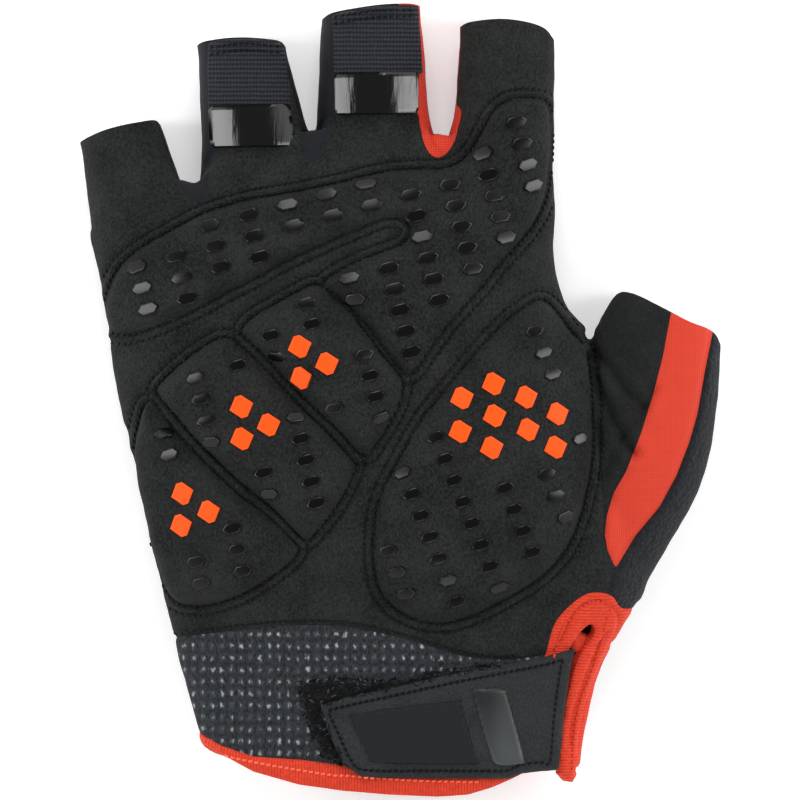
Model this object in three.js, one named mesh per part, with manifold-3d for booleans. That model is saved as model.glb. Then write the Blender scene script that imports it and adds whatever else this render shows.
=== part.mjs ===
import * as THREE from 'three';
import { mergeVertices } from 'three/addons/utils/BufferGeometryUtils.js';
import Module from 'manifold-3d';

const kernel = await Module();
kernel.setup();

// Right-hand fingerless cycling mitt lying on its back, palm side up, fingers towards +Y and thumb
// towards +X. Every place in plan is a share: x of the glove width from the little-finger side,
// y of the glove length from the wrist hem.

// Driving sizes in millimetres
const glove_width = 134.6; // little-finger side to the outer side of the thumb
const glove_length = 167; // wrist hem to the tip of the middle finger
const palm_depth = 28; // back to palm, without the cushions
const finger_depth = 19; // back to front of a finger tube
const thumb_depth = 21; // back to front of the thumb tube
const cloth_wall = 1.6; // leather and stretch cloth with its lining
const piece_gap = 0.3; // seam gap between neighbouring pieces
const fourchette_width = 11; // side strips between the fingers
const binding_width = 5.3; // bias tape around the wrist hem
const binding_rise = 0.5; // how far the tape stands out of the cloth on each face
const knuckle_pad_thickness = 1.8; // upper pad below the fingers
const cushion_thickness = 3; // gel cushions on the heel of the hand
const thumb_pad_thickness = 2.4; // gel pad on the ball of the thumb
const webbing_thickness = 1; // ribbed tape of the pull tabs
const grip_thickness = 2.2; // moulded end of the pull tabs
const patch_thickness = 0.8; // loop patch on the cuff
const strap_thickness = 1.7; // closure strap
const slit_drop = 1.5; // how far the wrist slit and its tape reach below the side seam

const seam_height = 0.42 * palm_depth; // side seam between palm and back
const flat_cut = 0; // the floor
const palm_roundness = 2.3; // exponent of the rounded sections
const finger_roundness = 2.15;
const palm_facets = 34;
const finger_facets = 20;
const thumb_facets = 22;
const open_end = 8; // how far the hollow runs past each opening

// Palm sections from the wrist hem to the finger webs. left and right are the ends of each section
// line, bow and back_bow its bow towards the fingers on the palm side and on the back (shares of
// the length), half and height its half depth and mid height (shares of the palm depth).
const palm_sections = [
  { left: [0.193, 0.064], right: [0.777, 0.038], bow: -0.05, back_bow: -0.012, half: 0.41, height: 0.395 },
  { left: [0.178, 0.108], right: [0.791, 0.108], bow: -0.03, back_bow: -0.008, half: 0.41, height: 0.395 },
  { left: [0.161, 0.158], right: [0.811, 0.164], bow: -0.018, back_bow: -0.005, half: 0.42, height: 0.405 },
  { left: [0.142, 0.218], right: [0.846, 0.218], bow: -0.01, back_bow: -0.002, half: 0.45, height: 0.435 },
  { left: [0.123, 0.274], right: [0.885, 0.274], bow: -0.005, back_bow: 0, half: 0.49, height: 0.472 },
  { left: [0.103, 0.337], right: [0.878, 0.337], bow: 0, back_bow: 0, half: 0.52, height: 0.5 },
  { left: [0.086, 0.406], right: [0.853, 0.406], bow: 0.01, back_bow: 0.01, half: 0.53, height: 0.51 },
  { left: [0.066, 0.482], right: [0.822, 0.488], bow: 0.02, back_bow: 0.02, half: 0.53, height: 0.51 },
  { left: [0.047, 0.564], right: [0.794, 0.579], bow: 0.035, back_bow: 0.035, half: 0.52, height: 0.5 },
  { left: [0.033, 0.636], right: [0.744, 0.674], bow: 0.058, back_bow: 0.058, half: 0.485, height: 0.468 },
  { left: [0.022, 0.683], right: [0.741, 0.746], bow: 0.075, back_bow: 0.075, half: 0.43, height: 0.425 },
  { left: [0.014, 0.708], right: [0.739, 0.79], bow: 0.089, back_bow: 0.089, half: 0.31, height: 0.42 },
];

// Finger tubes: root and tip are the ends of each axis, root_width and tip_width shares of the
// glove width, tip_bow the arch of the cut end as a share of the length.
const fingers = {
  little: { root: [0.1165, 0.659], tip: [0.0605, 0.8405], root_width: 0.174, tip_width: 0.127, tip_bow: 0.005 },
  ring: { root: [0.297, 0.718], tip: [0.252, 0.9515], root_width: 0.195, tip_width: 0.138, tip_bow: 0.005 },
  middle: { root: [0.46, 0.761], tip: [0.455, 0.995], root_width: 0.188, tip_width: 0.154, tip_bow: 0.005 },
  index: { root: [0.659, 0.733], tip: [0.668, 0.9705], root_width: 0.16, tip_width: 0.148, tip_bow: 0.008 },
};

// Depth of a finger along its axis: at is a share of its length, half a share of the finger depth
const finger_profile = [
  { at: 0, half: 0.47 },
  { at: 0.4, half: 0.515 },
  { at: 0.75, half: 0.495 },
  { at: 1, half: 0.485 },
];

// Thumb sections from the ball of the thumb to its opening
const thumb_sections = [
  { left: [0.79, 0.262], right: [0.875, 0.25], bow: 0, back_bow: 0, half: 0.18, height: 0.56 },
  { left: [0.75, 0.318], right: [0.894, 0.284], bow: 0, back_bow: 0, half: 0.36, height: 0.56 },
  { left: [0.744, 0.375], right: [0.938, 0.343], bow: 0, back_bow: 0, half: 0.45, height: 0.56 },
  { left: [0.75, 0.431], right: [0.969, 0.395], bow: 0, back_bow: 0, half: 0.49, height: 0.56 },
  { left: [0.763, 0.488], right: [0.986, 0.443], bow: 0, back_bow: 0, half: 0.5, height: 0.56 },
  { left: [0.782, 0.536], right: [0.994, 0.491], bow: 0, back_bow: 0, half: 0.5, height: 0.56 },
  { left: [0.803, 0.582], right: [0.998, 0.536], bow: 0.004, back_bow: 0.004, half: 0.49, height: 0.56 },
  { left: [0.82, 0.624], right: [1, 0.58], bow: 0.012, back_bow: 0.012, half: 0.48, height: 0.56 },
];

// Outlines in plan, as shares
const outlines = {
  cuff: [
    [0.02, 0.196], [0.111, 0.196], [0.189, 0.205], [0.251, 0.211], [0.314, 0.216], [0.376, 0.218],
    [0.423, 0.215], [0.47, 0.208], [0.516, 0.197], [0.563, 0.186], [0.602, 0.177], [0.641, 0.174],
    [0.68, 0.174], [0.719, 0.179], [0.774, 0.189], [0.906, 0.199], [0.906, -0.1], [0.02, -0.1],
  ],
  thumb: [
    [0.794, 0.7], [0.794, 0.604], [0.8, 0.551], [0.807, 0.501], [0.81, 0.438], [0.814, 0.387],
    [0.819, 0.332], [0.824, 0.311], [0.836, 0.288], [0.83, 0.268], [0.838, 0.25], [0.85, 0.22],
    [1.1, 0.22], [1.1, 0.7],
  ],
  stripe: [
    [0.925, 0.7], [0.922, 0.609], [0.91, 0.555], [0.894, 0.506], [0.875, 0.458], [0.852, 0.409],
    [0.833, 0.384], [0.822, 0.353], [0.819, 0.332], [0.824, 0.311], [0.836, 0.288], [0.867, 0.33],
    [0.905, 0.366], [0.931, 0.405], [0.95, 0.445], [0.964, 0.482], [0.977, 0.54], [0.989, 0.589],
    [0.997, 0.7],
  ],
  terry: [
    [0.997, 0.7], [0.989, 0.589], [0.977, 0.54], [0.964, 0.482], [0.95, 0.445], [0.931, 0.405],
    [0.905, 0.366], [0.867, 0.33], [0.836, 0.288], [0.83, 0.268], [0.838, 0.25], [0.85, 0.22],
    [1.1, 0.22], [1.1, 0.7],
  ],
  finger_backs: [[-0.1, 0.62], [0.35, 0.7], [0.6, 0.71], [1.1, 0.7], [1.1, 1.2], [-0.1, 1.2]],
  gusset_little_ring: [
    [0.145, 0.803], [0.153, 0.777], [0.167, 0.756], [0.179, 0.748], [0.192, 0.757], [0.2, 0.775],
    [0.201, 0.803],
  ],
  gusset_ring_middle: [
    [0.343, 0.836], [0.349, 0.814], [0.36, 0.799], [0.373, 0.806], [0.382, 0.823], [0.385, 0.843],
  ],
  gusset_middle_index: [
    [0.534, 0.868], [0.534, 0.834], [0.543, 0.814], [0.555, 0.805], [0.569, 0.809], [0.582, 0.821],
    [0.59, 0.84], [0.591, 0.87],
  ],
  knuckle_pad: [
    [0.039, 0.611], [0.044, 0.639], [0.061, 0.668], [0.095, 0.692], [0.142, 0.713], [0.197, 0.736],
    [0.259, 0.751], [0.329, 0.761], [0.399, 0.772], [0.47, 0.786], [0.524, 0.791], [0.571, 0.792],
    [0.604, 0.808], [0.626, 0.835], [0.647, 0.865], [0.672, 0.878], [0.704, 0.881], [0.727, 0.873],
    [0.729, 0.84], [0.728, 0.796], [0.723, 0.758], [0.708, 0.725], [0.682, 0.694], [0.654, 0.67],
    [0.626, 0.642], [0.598, 0.616], [0.571, 0.591], [0.548, 0.566], [0.529, 0.543], [0.515, 0.532],
    [0.501, 0.541], [0.479, 0.562], [0.451, 0.592], [0.423, 0.618], [0.395, 0.636], [0.381, 0.648],
    [0.423, 0.67], [0.47, 0.686], [0.501, 0.696], [0.516, 0.711], [0.505, 0.726], [0.477, 0.728],
    [0.446, 0.719], [0.392, 0.701], [0.329, 0.678], [0.27, 0.652], [0.228, 0.634], [0.189, 0.618],
    [0.15, 0.603], [0.111, 0.59], [0.08, 0.584], [0.048, 0.585],
  ],
  cushion_inner: [
    [0.37, 0.645], [0.395, 0.628], [0.421, 0.609], [0.445, 0.585], [0.473, 0.555], [0.496, 0.533],
    [0.504, 0.521], [0.499, 0.498], [0.485, 0.474], [0.466, 0.45], [0.449, 0.431], [0.435, 0.434],
    [0.413, 0.454], [0.388, 0.474], [0.359, 0.497], [0.331, 0.519], [0.303, 0.545], [0.279, 0.564],
    [0.262, 0.577], [0.253, 0.589], [0.27, 0.604], [0.301, 0.619], [0.335, 0.634],
  ],
  cushion_middle: [
    [0.246, 0.57], [0.267, 0.556], [0.292, 0.536], [0.32, 0.511], [0.348, 0.488], [0.378, 0.465],
    [0.402, 0.445], [0.423, 0.426], [0.431, 0.416], [0.421, 0.397], [0.407, 0.376], [0.39, 0.355],
    [0.37, 0.335], [0.356, 0.323], [0.34, 0.332], [0.32, 0.35], [0.292, 0.371], [0.256, 0.394],
    [0.214, 0.425], [0.181, 0.452], [0.15, 0.481], [0.128, 0.501], [0.119, 0.512], [0.133, 0.527],
    [0.158, 0.546], [0.189, 0.565], [0.217, 0.577], [0.236, 0.577],
  ],
  cushion_outer: [
    [0.112, 0.498], [0.134, 0.474], [0.167, 0.444], [0.201, 0.415], [0.246, 0.382], [0.282, 0.36],
    [0.309, 0.341], [0.331, 0.323], [0.342, 0.312], [0.326, 0.296], [0.298, 0.278], [0.267, 0.262],
    [0.232, 0.249], [0.197, 0.242], [0.168, 0.242], [0.147, 0.247], [0.133, 0.264], [0.12, 0.297],
    [0.108, 0.331], [0.097, 0.369], [0.087, 0.406], [0.084, 0.44], [0.092, 0.475], [0.101, 0.494],
  ],
  thumb_pad: [
    [0.786, 0.566], [0.794, 0.532], [0.799, 0.494], [0.8, 0.45], [0.797, 0.413], [0.789, 0.377],
    [0.778, 0.347], [0.764, 0.321], [0.744, 0.297], [0.716, 0.275], [0.682, 0.258], [0.646, 0.242],
    [0.607, 0.228], [0.568, 0.22], [0.532, 0.223], [0.504, 0.231], [0.48, 0.247], [0.465, 0.268],
    [0.459, 0.299], [0.459, 0.331], [0.463, 0.362], [0.476, 0.391], [0.495, 0.42], [0.515, 0.45],
    [0.535, 0.478], [0.56, 0.503], [0.588, 0.531], [0.616, 0.557], [0.641, 0.58], [0.665, 0.599],
    [0.688, 0.614], [0.711, 0.625], [0.729, 0.624], [0.747, 0.608], [0.768, 0.585],
  ],
  loop_patch: [
    [0.345, 0.143], [0.392, 0.148], [0.47, 0.146], [0.532, 0.153], [0.61, 0.164], [0.645, 0.164],
    [0.645, 0.048], [0.407, 0.045], [0.379, 0.054], [0.362, 0.086], [0.349, 0.117],
  ],
  strap: [
    [0.378, 0.117], [0.413, 0.126], [0.499, 0.141], [0.585, 0.156], [0.652, 0.166], [0.724, 0.177],
    [0.771, 0.187], [0.763, 0.164], [0.754, 0.107], [0.744, 0.035], [0.716, 0.034], [0.688, 0.031],
    [0.668, 0.024], [0.563, 0.024], [0.441, 0.025], [0.413, 0.042], [0.395, 0.072], [0.376, 0.106],
  ],
  slit: [
    [0.797, 0.219], [0.805, 0.208], [0.789, 0.189], [0.775, 0.169], [0.761, 0.123], [0.75, 0.067],
    [0.744, -0.1], [0.685, -0.1], [0.711, 0.073], [0.738, 0.136], [0.76, 0.179], [0.775, 0.203],
  ],
  slit_binding: [
    [0.649, -0.1], [0.676, 0.067], [0.704, 0.136], [0.724, 0.18], [0.738, 0.199], [0.754, 0.219],
    [0.772, 0.238], [0.791, 0.25], [0.808, 0.258], [0.825, 0.259], [0.839, 0.253], [0.85, 0.242],
    [0.95, 0.242], [0.95, -0.1],
  ],
  webbing_ring: [[0.195, 0.9435], [0.315, 0.9435], [0.334, 0.873], [0.198, 0.8705]],
  grip_ring: [[0.197, 0.868], [0.335, 0.8705], [0.349, 0.819], [0.2, 0.819]],
  webbing_middle: [[0.39, 0.9855], [0.53, 0.993], [0.536, 0.9165], [0.392, 0.913]],
  grip_middle: [[0.391, 0.9105], [0.537, 0.914], [0.54, 0.863], [0.396, 0.8625]],
};

function placeX(share) {
  return (share - 0.5) * glove_width;
}

function placeY(share) {
  return (share - 0.5) * glove_length;
}

function solidOf(geometry) {
  const bare = geometry.clone();
  bare.deleteAttribute('normal');
  bare.deleteAttribute('uv');
  const merged = mergeVertices(bare, 1e-5);
  const vertProperties = new Float32Array(merged.attributes.position.array);
  const triVerts = new Uint32Array(merged.index.array);
  return new kernel.Manifold(new kernel.Mesh({ numProp: 3, vertProperties, triVerts }));
}

function geometryOf(solid) {
  const mesh = solid.getMesh();
  const geometry = new THREE.BufferGeometry();
  geometry.setAttribute('position', new THREE.BufferAttribute(new Float32Array(mesh.vertProperties), 3));
  geometry.setIndex(new THREE.BufferAttribute(new Uint32Array(mesh.triVerts), 1));
  return geometry;
}

// A closed tube through rings of points
function tube(rings) {
  const count = rings[0].length;
  const positions = [];
  const faces = [];
  rings.forEach((ring) => ring.forEach((point) => positions.push(...point)));
  for (let row = 0; row + 1 < rings.length; row += 1) {
    for (let side = 0; side < count; side += 1) {
      const next = (side + 1) % count;
      const a = row * count + side;
      const b = row * count + next;
      const c = (row + 1) * count + next;
      const d = (row + 1) * count + side;
      faces.push(a, b, c, a, c, d);
    }
  }
  // Each end is closed by a ladder of strips that keeps the bow of its ring
  const last = (rings.length - 1) * count;
  for (let step = 0; step < count / 2; step += 1) {
    const a = step;
    const b = step + 1;
    const c = count - 1 - step;
    const d = (count - step) % count;
    if (step > 0) {
      faces.push(a, d, c);
      faces.push(last + a, last + c, last + d);
    }
    if (b < c) {
      faces.push(a, c, b);
      faces.push(last + a, last + b, last + c);
    }
  }
  const geometry = new THREE.BufferGeometry();
  geometry.setAttribute('position', new THREE.Float32BufferAttribute(positions, 3));
  geometry.setIndex(faces);
  return solidOf(geometry);
}

function power(value, roundness) {
  return Math.sign(value) * Math.abs(value) ** (2 / roundness);
}

// One rounded section standing on the line from left to right, all in millimetres
function section({ left, right, bow, back_bow, half, height }, roundness, facets, offset) {
  const across = new THREE.Vector2(right[0] - left[0], right[1] - left[1]);
  const reach = across.length() / 2 + offset;
  across.normalize();
  const middle = [(left[0] + right[0]) / 2, (left[1] + right[1]) / 2];
  const ring = [];
  for (let step = 0; step < facets; step += 1) {
    const angle = (-step / facets) * 2 * Math.PI;
    const side = power(Math.cos(angle), roundness);
    const rise = power(Math.sin(angle), roundness);
    const front = 0.5 + 0.5 * Math.sin(angle);
    const push = (back_bow + (bow - back_bow) * front) * (1 - side * side);
    ring.push([
      middle[0] + across.x * side * reach - across.y * push,
      middle[1] + across.y * side * reach + across.x * push,
      height + rise * (half + offset),
    ]);
  }
  return ring;
}

function sized(row, depth) {
  return {
    left: [placeX(row.left[0]), placeY(row.left[1])],
    right: [placeX(row.right[0]), placeY(row.right[1])],
    bow: row.bow * glove_length,
    back_bow: row.back_bow * glove_length,
    half: row.half * depth,
    height: row.height * depth,
  };
}

function mix(a, b, share) {
  return a + (b - a) * share;
}

function between(a, b, share) {
  return {
    left: [mix(a.left[0], b.left[0], share), mix(a.left[1], b.left[1], share)],
    right: [mix(a.right[0], b.right[0], share), mix(a.right[1], b.right[1], share)],
    bow: mix(a.bow, b.bow, share),
    back_bow: mix(a.back_bow, b.back_bow, share),
    half: mix(a.half, b.half, share),
    height: mix(a.height, b.height, share),
  };
}

function moved(row, distance) {
  return {
    ...row,
    left: [row.left[0], row.left[1] + distance],
    right: [row.right[0], row.right[1] + distance],
  };
}

const palm_rows = palm_sections.map((row) => sized(row, palm_depth));
const thumb_rows = thumb_sections.map((row) => sized(row, thumb_depth));

// Share of the way from the hem section to the next one that the bias tape covers
function middleY(row) {
  return (row.left[1] + row.right[1]) / 2 + row.bow;
}
const tape_share = binding_width / (middleY(palm_rows[1]) - middleY(palm_rows[0]));
const gap_share = piece_gap / (middleY(palm_rows[1]) - middleY(palm_rows[0]));

function palmTube(offset, start) {
  const rows = palm_rows.slice(1);
  rows[rows.length - 1] = moved(rows[rows.length - 1], offset);
  rows.unshift(between(palm_rows[0], palm_rows[1], start));
  if (offset < 0) {
    rows.unshift(moved(palm_rows[0], -open_end));
  }
  return tube(rows.map((row) => section(row, palm_roundness, palm_facets, offset)));
}

function tapeTube(offset) {
  const rows = [palm_rows[0], between(palm_rows[0], palm_rows[1], tape_share)];
  if (offset < 0) {
    rows[0] = moved(rows[0], -open_end);
    rows.push(moved(rows[1], open_end));
  }
  return tube(rows.map((row) => section(row, palm_roundness, palm_facets, offset)));
}

function fingerTube({ root, tip, root_width, tip_width, tip_bow }, offset) {
  const start = new THREE.Vector2(placeX(root[0]), placeY(root[1]));
  const end = new THREE.Vector2(placeX(tip[0]), placeY(tip[1]));
  const along = end.clone().sub(start).normalize();
  const across = new THREE.Vector2(along.y, -along.x);
  const rows = finger_profile.map(({ at, half }) => {
    const centre = start.clone().lerp(end, at);
    const reach = (mix(root_width, tip_width, at) * glove_width) / 2;
    const bow = at * at * tip_bow * glove_length;
    return {
      left: [centre.x - across.x * reach, centre.y - across.y * reach],
      right: [centre.x + across.x * reach, centre.y + across.y * reach],
      bow,
      back_bow: bow,
      half: half * finger_depth,
      height: seam_height,
    };
  });
  if (offset < 0) {
    rows.push(moved(rows[rows.length - 1], open_end));
  }
  return tube(rows.map((row) => section(row, finger_roundness, finger_facets, offset)));
}

function thumbTube(offset) {
  const rows = [...thumb_rows];
  if (offset < 0) {
    rows.push(moved(rows[rows.length - 1], open_end));
  }
  return tube(rows.map((row) => section(row, finger_roundness, thumb_facets, offset)));
}

function slab(bottom, top) {
  const box = new THREE.BoxGeometry(4 * glove_width, 4 * glove_length, top - bottom);
  box.translate(0, 0, (top + bottom) / 2);
  return solidOf(box);
}

function aboveFloor(solid, offset) {
  return solid.intersect(slab(Math.max(flat_cut, -offset), 4 * palm_depth));
}

// The whole glove as one rounded body, grown or shrunk by an offset
function gloveBody(offset) {
  let body = palmTube(offset, offset < 0 ? 0 : tape_share + gap_share);
  Object.values(fingers).forEach((finger) => {
    body = body.add(fingerTube(finger, offset));
  });
  body = body.add(thumbTube(offset));
  return aboveFloor(body, offset);
}

// Corners of an outline, rounded through its points when asked and grown by a small distance
function corners(points, grow, rounded) {
  let path = points.map(([x, y]) => new THREE.Vector2(placeX(x), placeY(y)));
  if (rounded) {
    const knots = path.map((point) => new THREE.Vector3(point.x, point.y, 0));
    const curve = new THREE.CatmullRomCurve3(knots, true, 'centripetal');
    path = curve.getPoints(points.length * 2).slice(0, -1);
    path = path.map((point) => new THREE.Vector2(point.x, point.y));
  }
  if (THREE.ShapeUtils.area(path) < 0) {
    path.reverse();
  }
  if (grow === 0) {
    return path;
  }
  return path.map((point, index) => {
    const before = path[(index + path.length - 1) % path.length];
    const after = path[(index + 1) % path.length];
    const first = point.clone().sub(before).normalize();
    const second = after.clone().sub(point).normalize();
    const bisector = new THREE.Vector2(first.y + second.y, -first.x - second.x).normalize();
    const lean = Math.max(0.4, bisector.x * first.y - bisector.y * first.x);
    return point.clone().addScaledVector(bisector, grow / lean);
  });
}

function column(points, bottom, top, grow = 0, rounded = false) {
  const shape = new THREE.Shape(corners(points, grow, rounded));
  const prism = new THREE.ExtrudeGeometry(shape, { depth: top - bottom, bevelEnabled: false });
  prism.translate(0, 0, bottom);
  return solidOf(prism);
}

const low = -10;
const high = 3 * palm_depth;
const half_gap = piece_gap / 2;

// Regions that divide the cloth shell
const cuff_region = column(outlines.cuff, low, high, -half_gap);
const cuff_cut = column(outlines.cuff, low, high, half_gap);
const binding_region = column(outlines.slit_binding, seam_height - slit_drop, high, -half_gap);
const binding_cut = column(outlines.slit_binding, seam_height - slit_drop - piece_gap, high, half_gap);
const slit_cut = column(outlines.slit, seam_height - slit_drop + piece_gap, high);
const thumb_cut = column(outlines.thumb, low, high, half_gap);
const terry_drop = 0.16 * thumb_depth;
const terry_region = column(outlines.terry, seam_height - terry_drop, high, -half_gap);
const terry_cut = column(outlines.terry, seam_height - terry_drop - piece_gap, high, half_gap);

function axisPoint(finger, share) {
  return [mix(finger.root[0], finger.tip[0], share), mix(finger.root[1], finger.tip[1], share)];
}

// The facing sides of two fingers and the web between them
function fourchetteRegion(first, second, gusset, grow) {
  const points = [
    axisPoint(first, 1.3), axisPoint(first, 0), axisPoint(second, 0), axisPoint(second, 1.3),
  ];
  const reach = fourchette_width / 2 + grow;
  const sides = column(points, seam_height - reach, seam_height + reach, grow);
  return sides.add(column(gusset, seam_height - reach, high, grow, true));
}

const fourchettes = [
  ['fourchette_little_ring', fingers.little, fingers.ring, outlines.gusset_little_ring, 0x1e1e23],
  ['fourchette_ring_middle', fingers.ring, fingers.middle, outlines.gusset_ring_middle, 0x1e1e23],
  ['fourchette_middle_index', fingers.middle, fingers.index, outlines.gusset_middle_index, 0xd9402c],
];

const body = gloveBody(0);
const hollow = gloveBody(-cloth_wall);
const shell = body.subtract(hollow);
const front_half = slab(seam_height + half_gap, high);
const back_half = slab(low, seam_height - half_gap);

const pieces = [];

function piece(name, solid, color, roughness) {
  pieces.push({ name, solid, color, roughness });
}

let palm = shell.intersect(front_half).subtract(cuff_cut).subtract(binding_cut).subtract(thumb_cut);
let back = shell.intersect(back_half).subtract(cuff_cut).subtract(terry_cut).subtract(binding_cut);
fourchettes.forEach(([name, first, second, gusset, color]) => {
  const region = fourchetteRegion(first, second, gusset, -half_gap);
  const cut = fourchetteRegion(first, second, gusset, half_gap);
  piece(name, shell.intersect(region), color, 0.8);
  palm = palm.subtract(cut);
  back = back.subtract(cut);
});
piece('palm_panel', palm, 0x262828, 0.85);
piece('back_panel', back.subtract(column(outlines.finger_backs, low, high, half_gap)), 0x2a2c31, 0.8);
piece('back_fingers', back.intersect(column(outlines.finger_backs, low, high, -half_gap)), 0x2a2c31, 0.8);

// Thumb: leather, stripe and terry side by side
const thumb_region = column(outlines.thumb, low, high, -half_gap);
const stripe_region = column(outlines.stripe, low, high, -half_gap);
const stripe_cut = column(outlines.stripe, low, high, half_gap);
const thumb_shell = shell.intersect(thumb_region).subtract(binding_cut);
const thumb_front = thumb_shell.intersect(front_half);
piece('thumb_panel', thumb_front.subtract(stripe_cut).subtract(terry_cut), 0x242625, 0.85);
piece('thumb_stripe', thumb_front.intersect(stripe_region).subtract(terry_cut), 0xe84936, 0.8);
piece('thumb_terry', thumb_shell.intersect(terry_region), 0x2a2d32, 0.95);

// Cuff, bias tapes and closure
piece('cuff_knit', shell.intersect(cuff_region).subtract(binding_cut), 0x3a3d42, 0.9);
const tape = aboveFloor(tapeTube(binding_rise), binding_rise)
  .subtract(aboveFloor(tapeTube(-cloth_wall - binding_rise), -cloth_wall - binding_rise));
piece('hem_binding', tape.subtract(binding_cut), 0xe5442f, 0.75);
const raised = palmTube(binding_rise, 0).subtract(palmTube(-cloth_wall - binding_rise, 0));
piece('slit_binding', raised.intersect(binding_region).subtract(slit_cut), 0xe5442f, 0.75);

function layer(points, bottom, thickness, rounded) {
  const upper = slab(seam_height + 0.1 * palm_depth, high);
  return skins(bottom, thickness).intersect(column(points, low, high, 0, rounded)).intersect(upper);
}

function skins(bottom, thickness) {
  return gloveBody(bottom + thickness).add(palmTube(bottom + thickness, 0))
    .subtract(gloveBody(bottom).add(palmTube(bottom, 0)));
}

piece('loop_patch', layer(outlines.loop_patch, 0.9 * piece_gap + binding_rise, patch_thickness, false),
  0x17181a, 0.95);
const strap_bottom = binding_rise + patch_thickness + 2 * piece_gap;
piece('closure_strap', layer(outlines.strap, strap_bottom, strap_thickness, false), 0x38393a, 0.7);

// Pads and pull tabs on the palm side
piece('pad_knuckle', layer(outlines.knuckle_pad, piece_gap, knuckle_pad_thickness, false), 0x27292a, 0.85);
piece('cushion_outer', layer(outlines.cushion_outer, piece_gap, cushion_thickness, false), 0x27292a, 0.85);
piece('cushion_middle', layer(outlines.cushion_middle, piece_gap, cushion_thickness, false), 0x27292a, 0.85);
piece('cushion_inner', layer(outlines.cushion_inner, piece_gap, cushion_thickness, false), 0x27292a, 0.85);
piece('pad_thumb', layer(outlines.thumb_pad, piece_gap, thumb_pad_thickness, false), 0x27292a, 0.85);
piece('webbing_ring', layer(outlines.webbing_ring, piece_gap, webbing_thickness, false), 0x2d2f34, 0.8);
piece('grip_ring', layer(outlines.grip_ring, piece_gap, grip_thickness, false), 0x181818, 0.25);
piece('webbing_middle', layer(outlines.webbing_middle, piece_gap, webbing_thickness, false), 0x2d2f34, 0.8);
piece('grip_middle', layer(outlines.grip_middle, piece_gap, grip_thickness, false), 0x181818, 0.25);

const group = new THREE.Group();
group.name = 'cycling_mitt';
const box = new THREE.Box3();
const geometries = pieces.map(({ solid }) => {
  const geometry = geometryOf(solid);
  geometry.computeBoundingBox();
  box.union(geometry.boundingBox);
  return geometry;
});
const centre = box.getCenter(new THREE.Vector3());
pieces.forEach(({ name, color, roughness }, index) => {
  const geometry = geometries[index];
  geometry.translate(-centre.x, -centre.y, -box.min.z);
  geometry.computeVertexNormals();
  const material = new THREE.MeshStandardMaterial({ color, roughness, metalness: 0 });
  const mesh = new THREE.Mesh(geometry, material);
  mesh.name = name;
  group.add(mesh);
});

export default group;
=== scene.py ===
import math
import bpy
import numpy as np
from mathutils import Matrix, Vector
from mathutils.bvhtree import BVHTree


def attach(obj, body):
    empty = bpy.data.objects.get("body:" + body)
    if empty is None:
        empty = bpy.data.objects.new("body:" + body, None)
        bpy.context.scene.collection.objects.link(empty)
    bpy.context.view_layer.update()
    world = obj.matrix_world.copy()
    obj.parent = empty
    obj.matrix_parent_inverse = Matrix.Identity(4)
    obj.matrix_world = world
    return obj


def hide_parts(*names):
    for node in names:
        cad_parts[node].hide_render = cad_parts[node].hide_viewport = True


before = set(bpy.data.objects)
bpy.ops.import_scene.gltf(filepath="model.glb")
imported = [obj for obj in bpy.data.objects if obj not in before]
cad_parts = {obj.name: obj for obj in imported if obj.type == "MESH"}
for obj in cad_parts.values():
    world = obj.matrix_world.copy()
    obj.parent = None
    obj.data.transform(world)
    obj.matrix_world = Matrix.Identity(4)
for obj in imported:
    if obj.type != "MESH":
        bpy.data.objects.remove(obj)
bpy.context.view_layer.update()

bl_info = {
    "name": "Fingerless Cycling Mitt",
    "version": (1, 0, 0),
    "blender": (4, 5, 0),
    "location": "View3D > Sidebar > Mitt",
    "description": "Dresses the mitt with leather, knit, tapes, pads, grip dots and stitches",
    "category": "Object",
}

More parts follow.
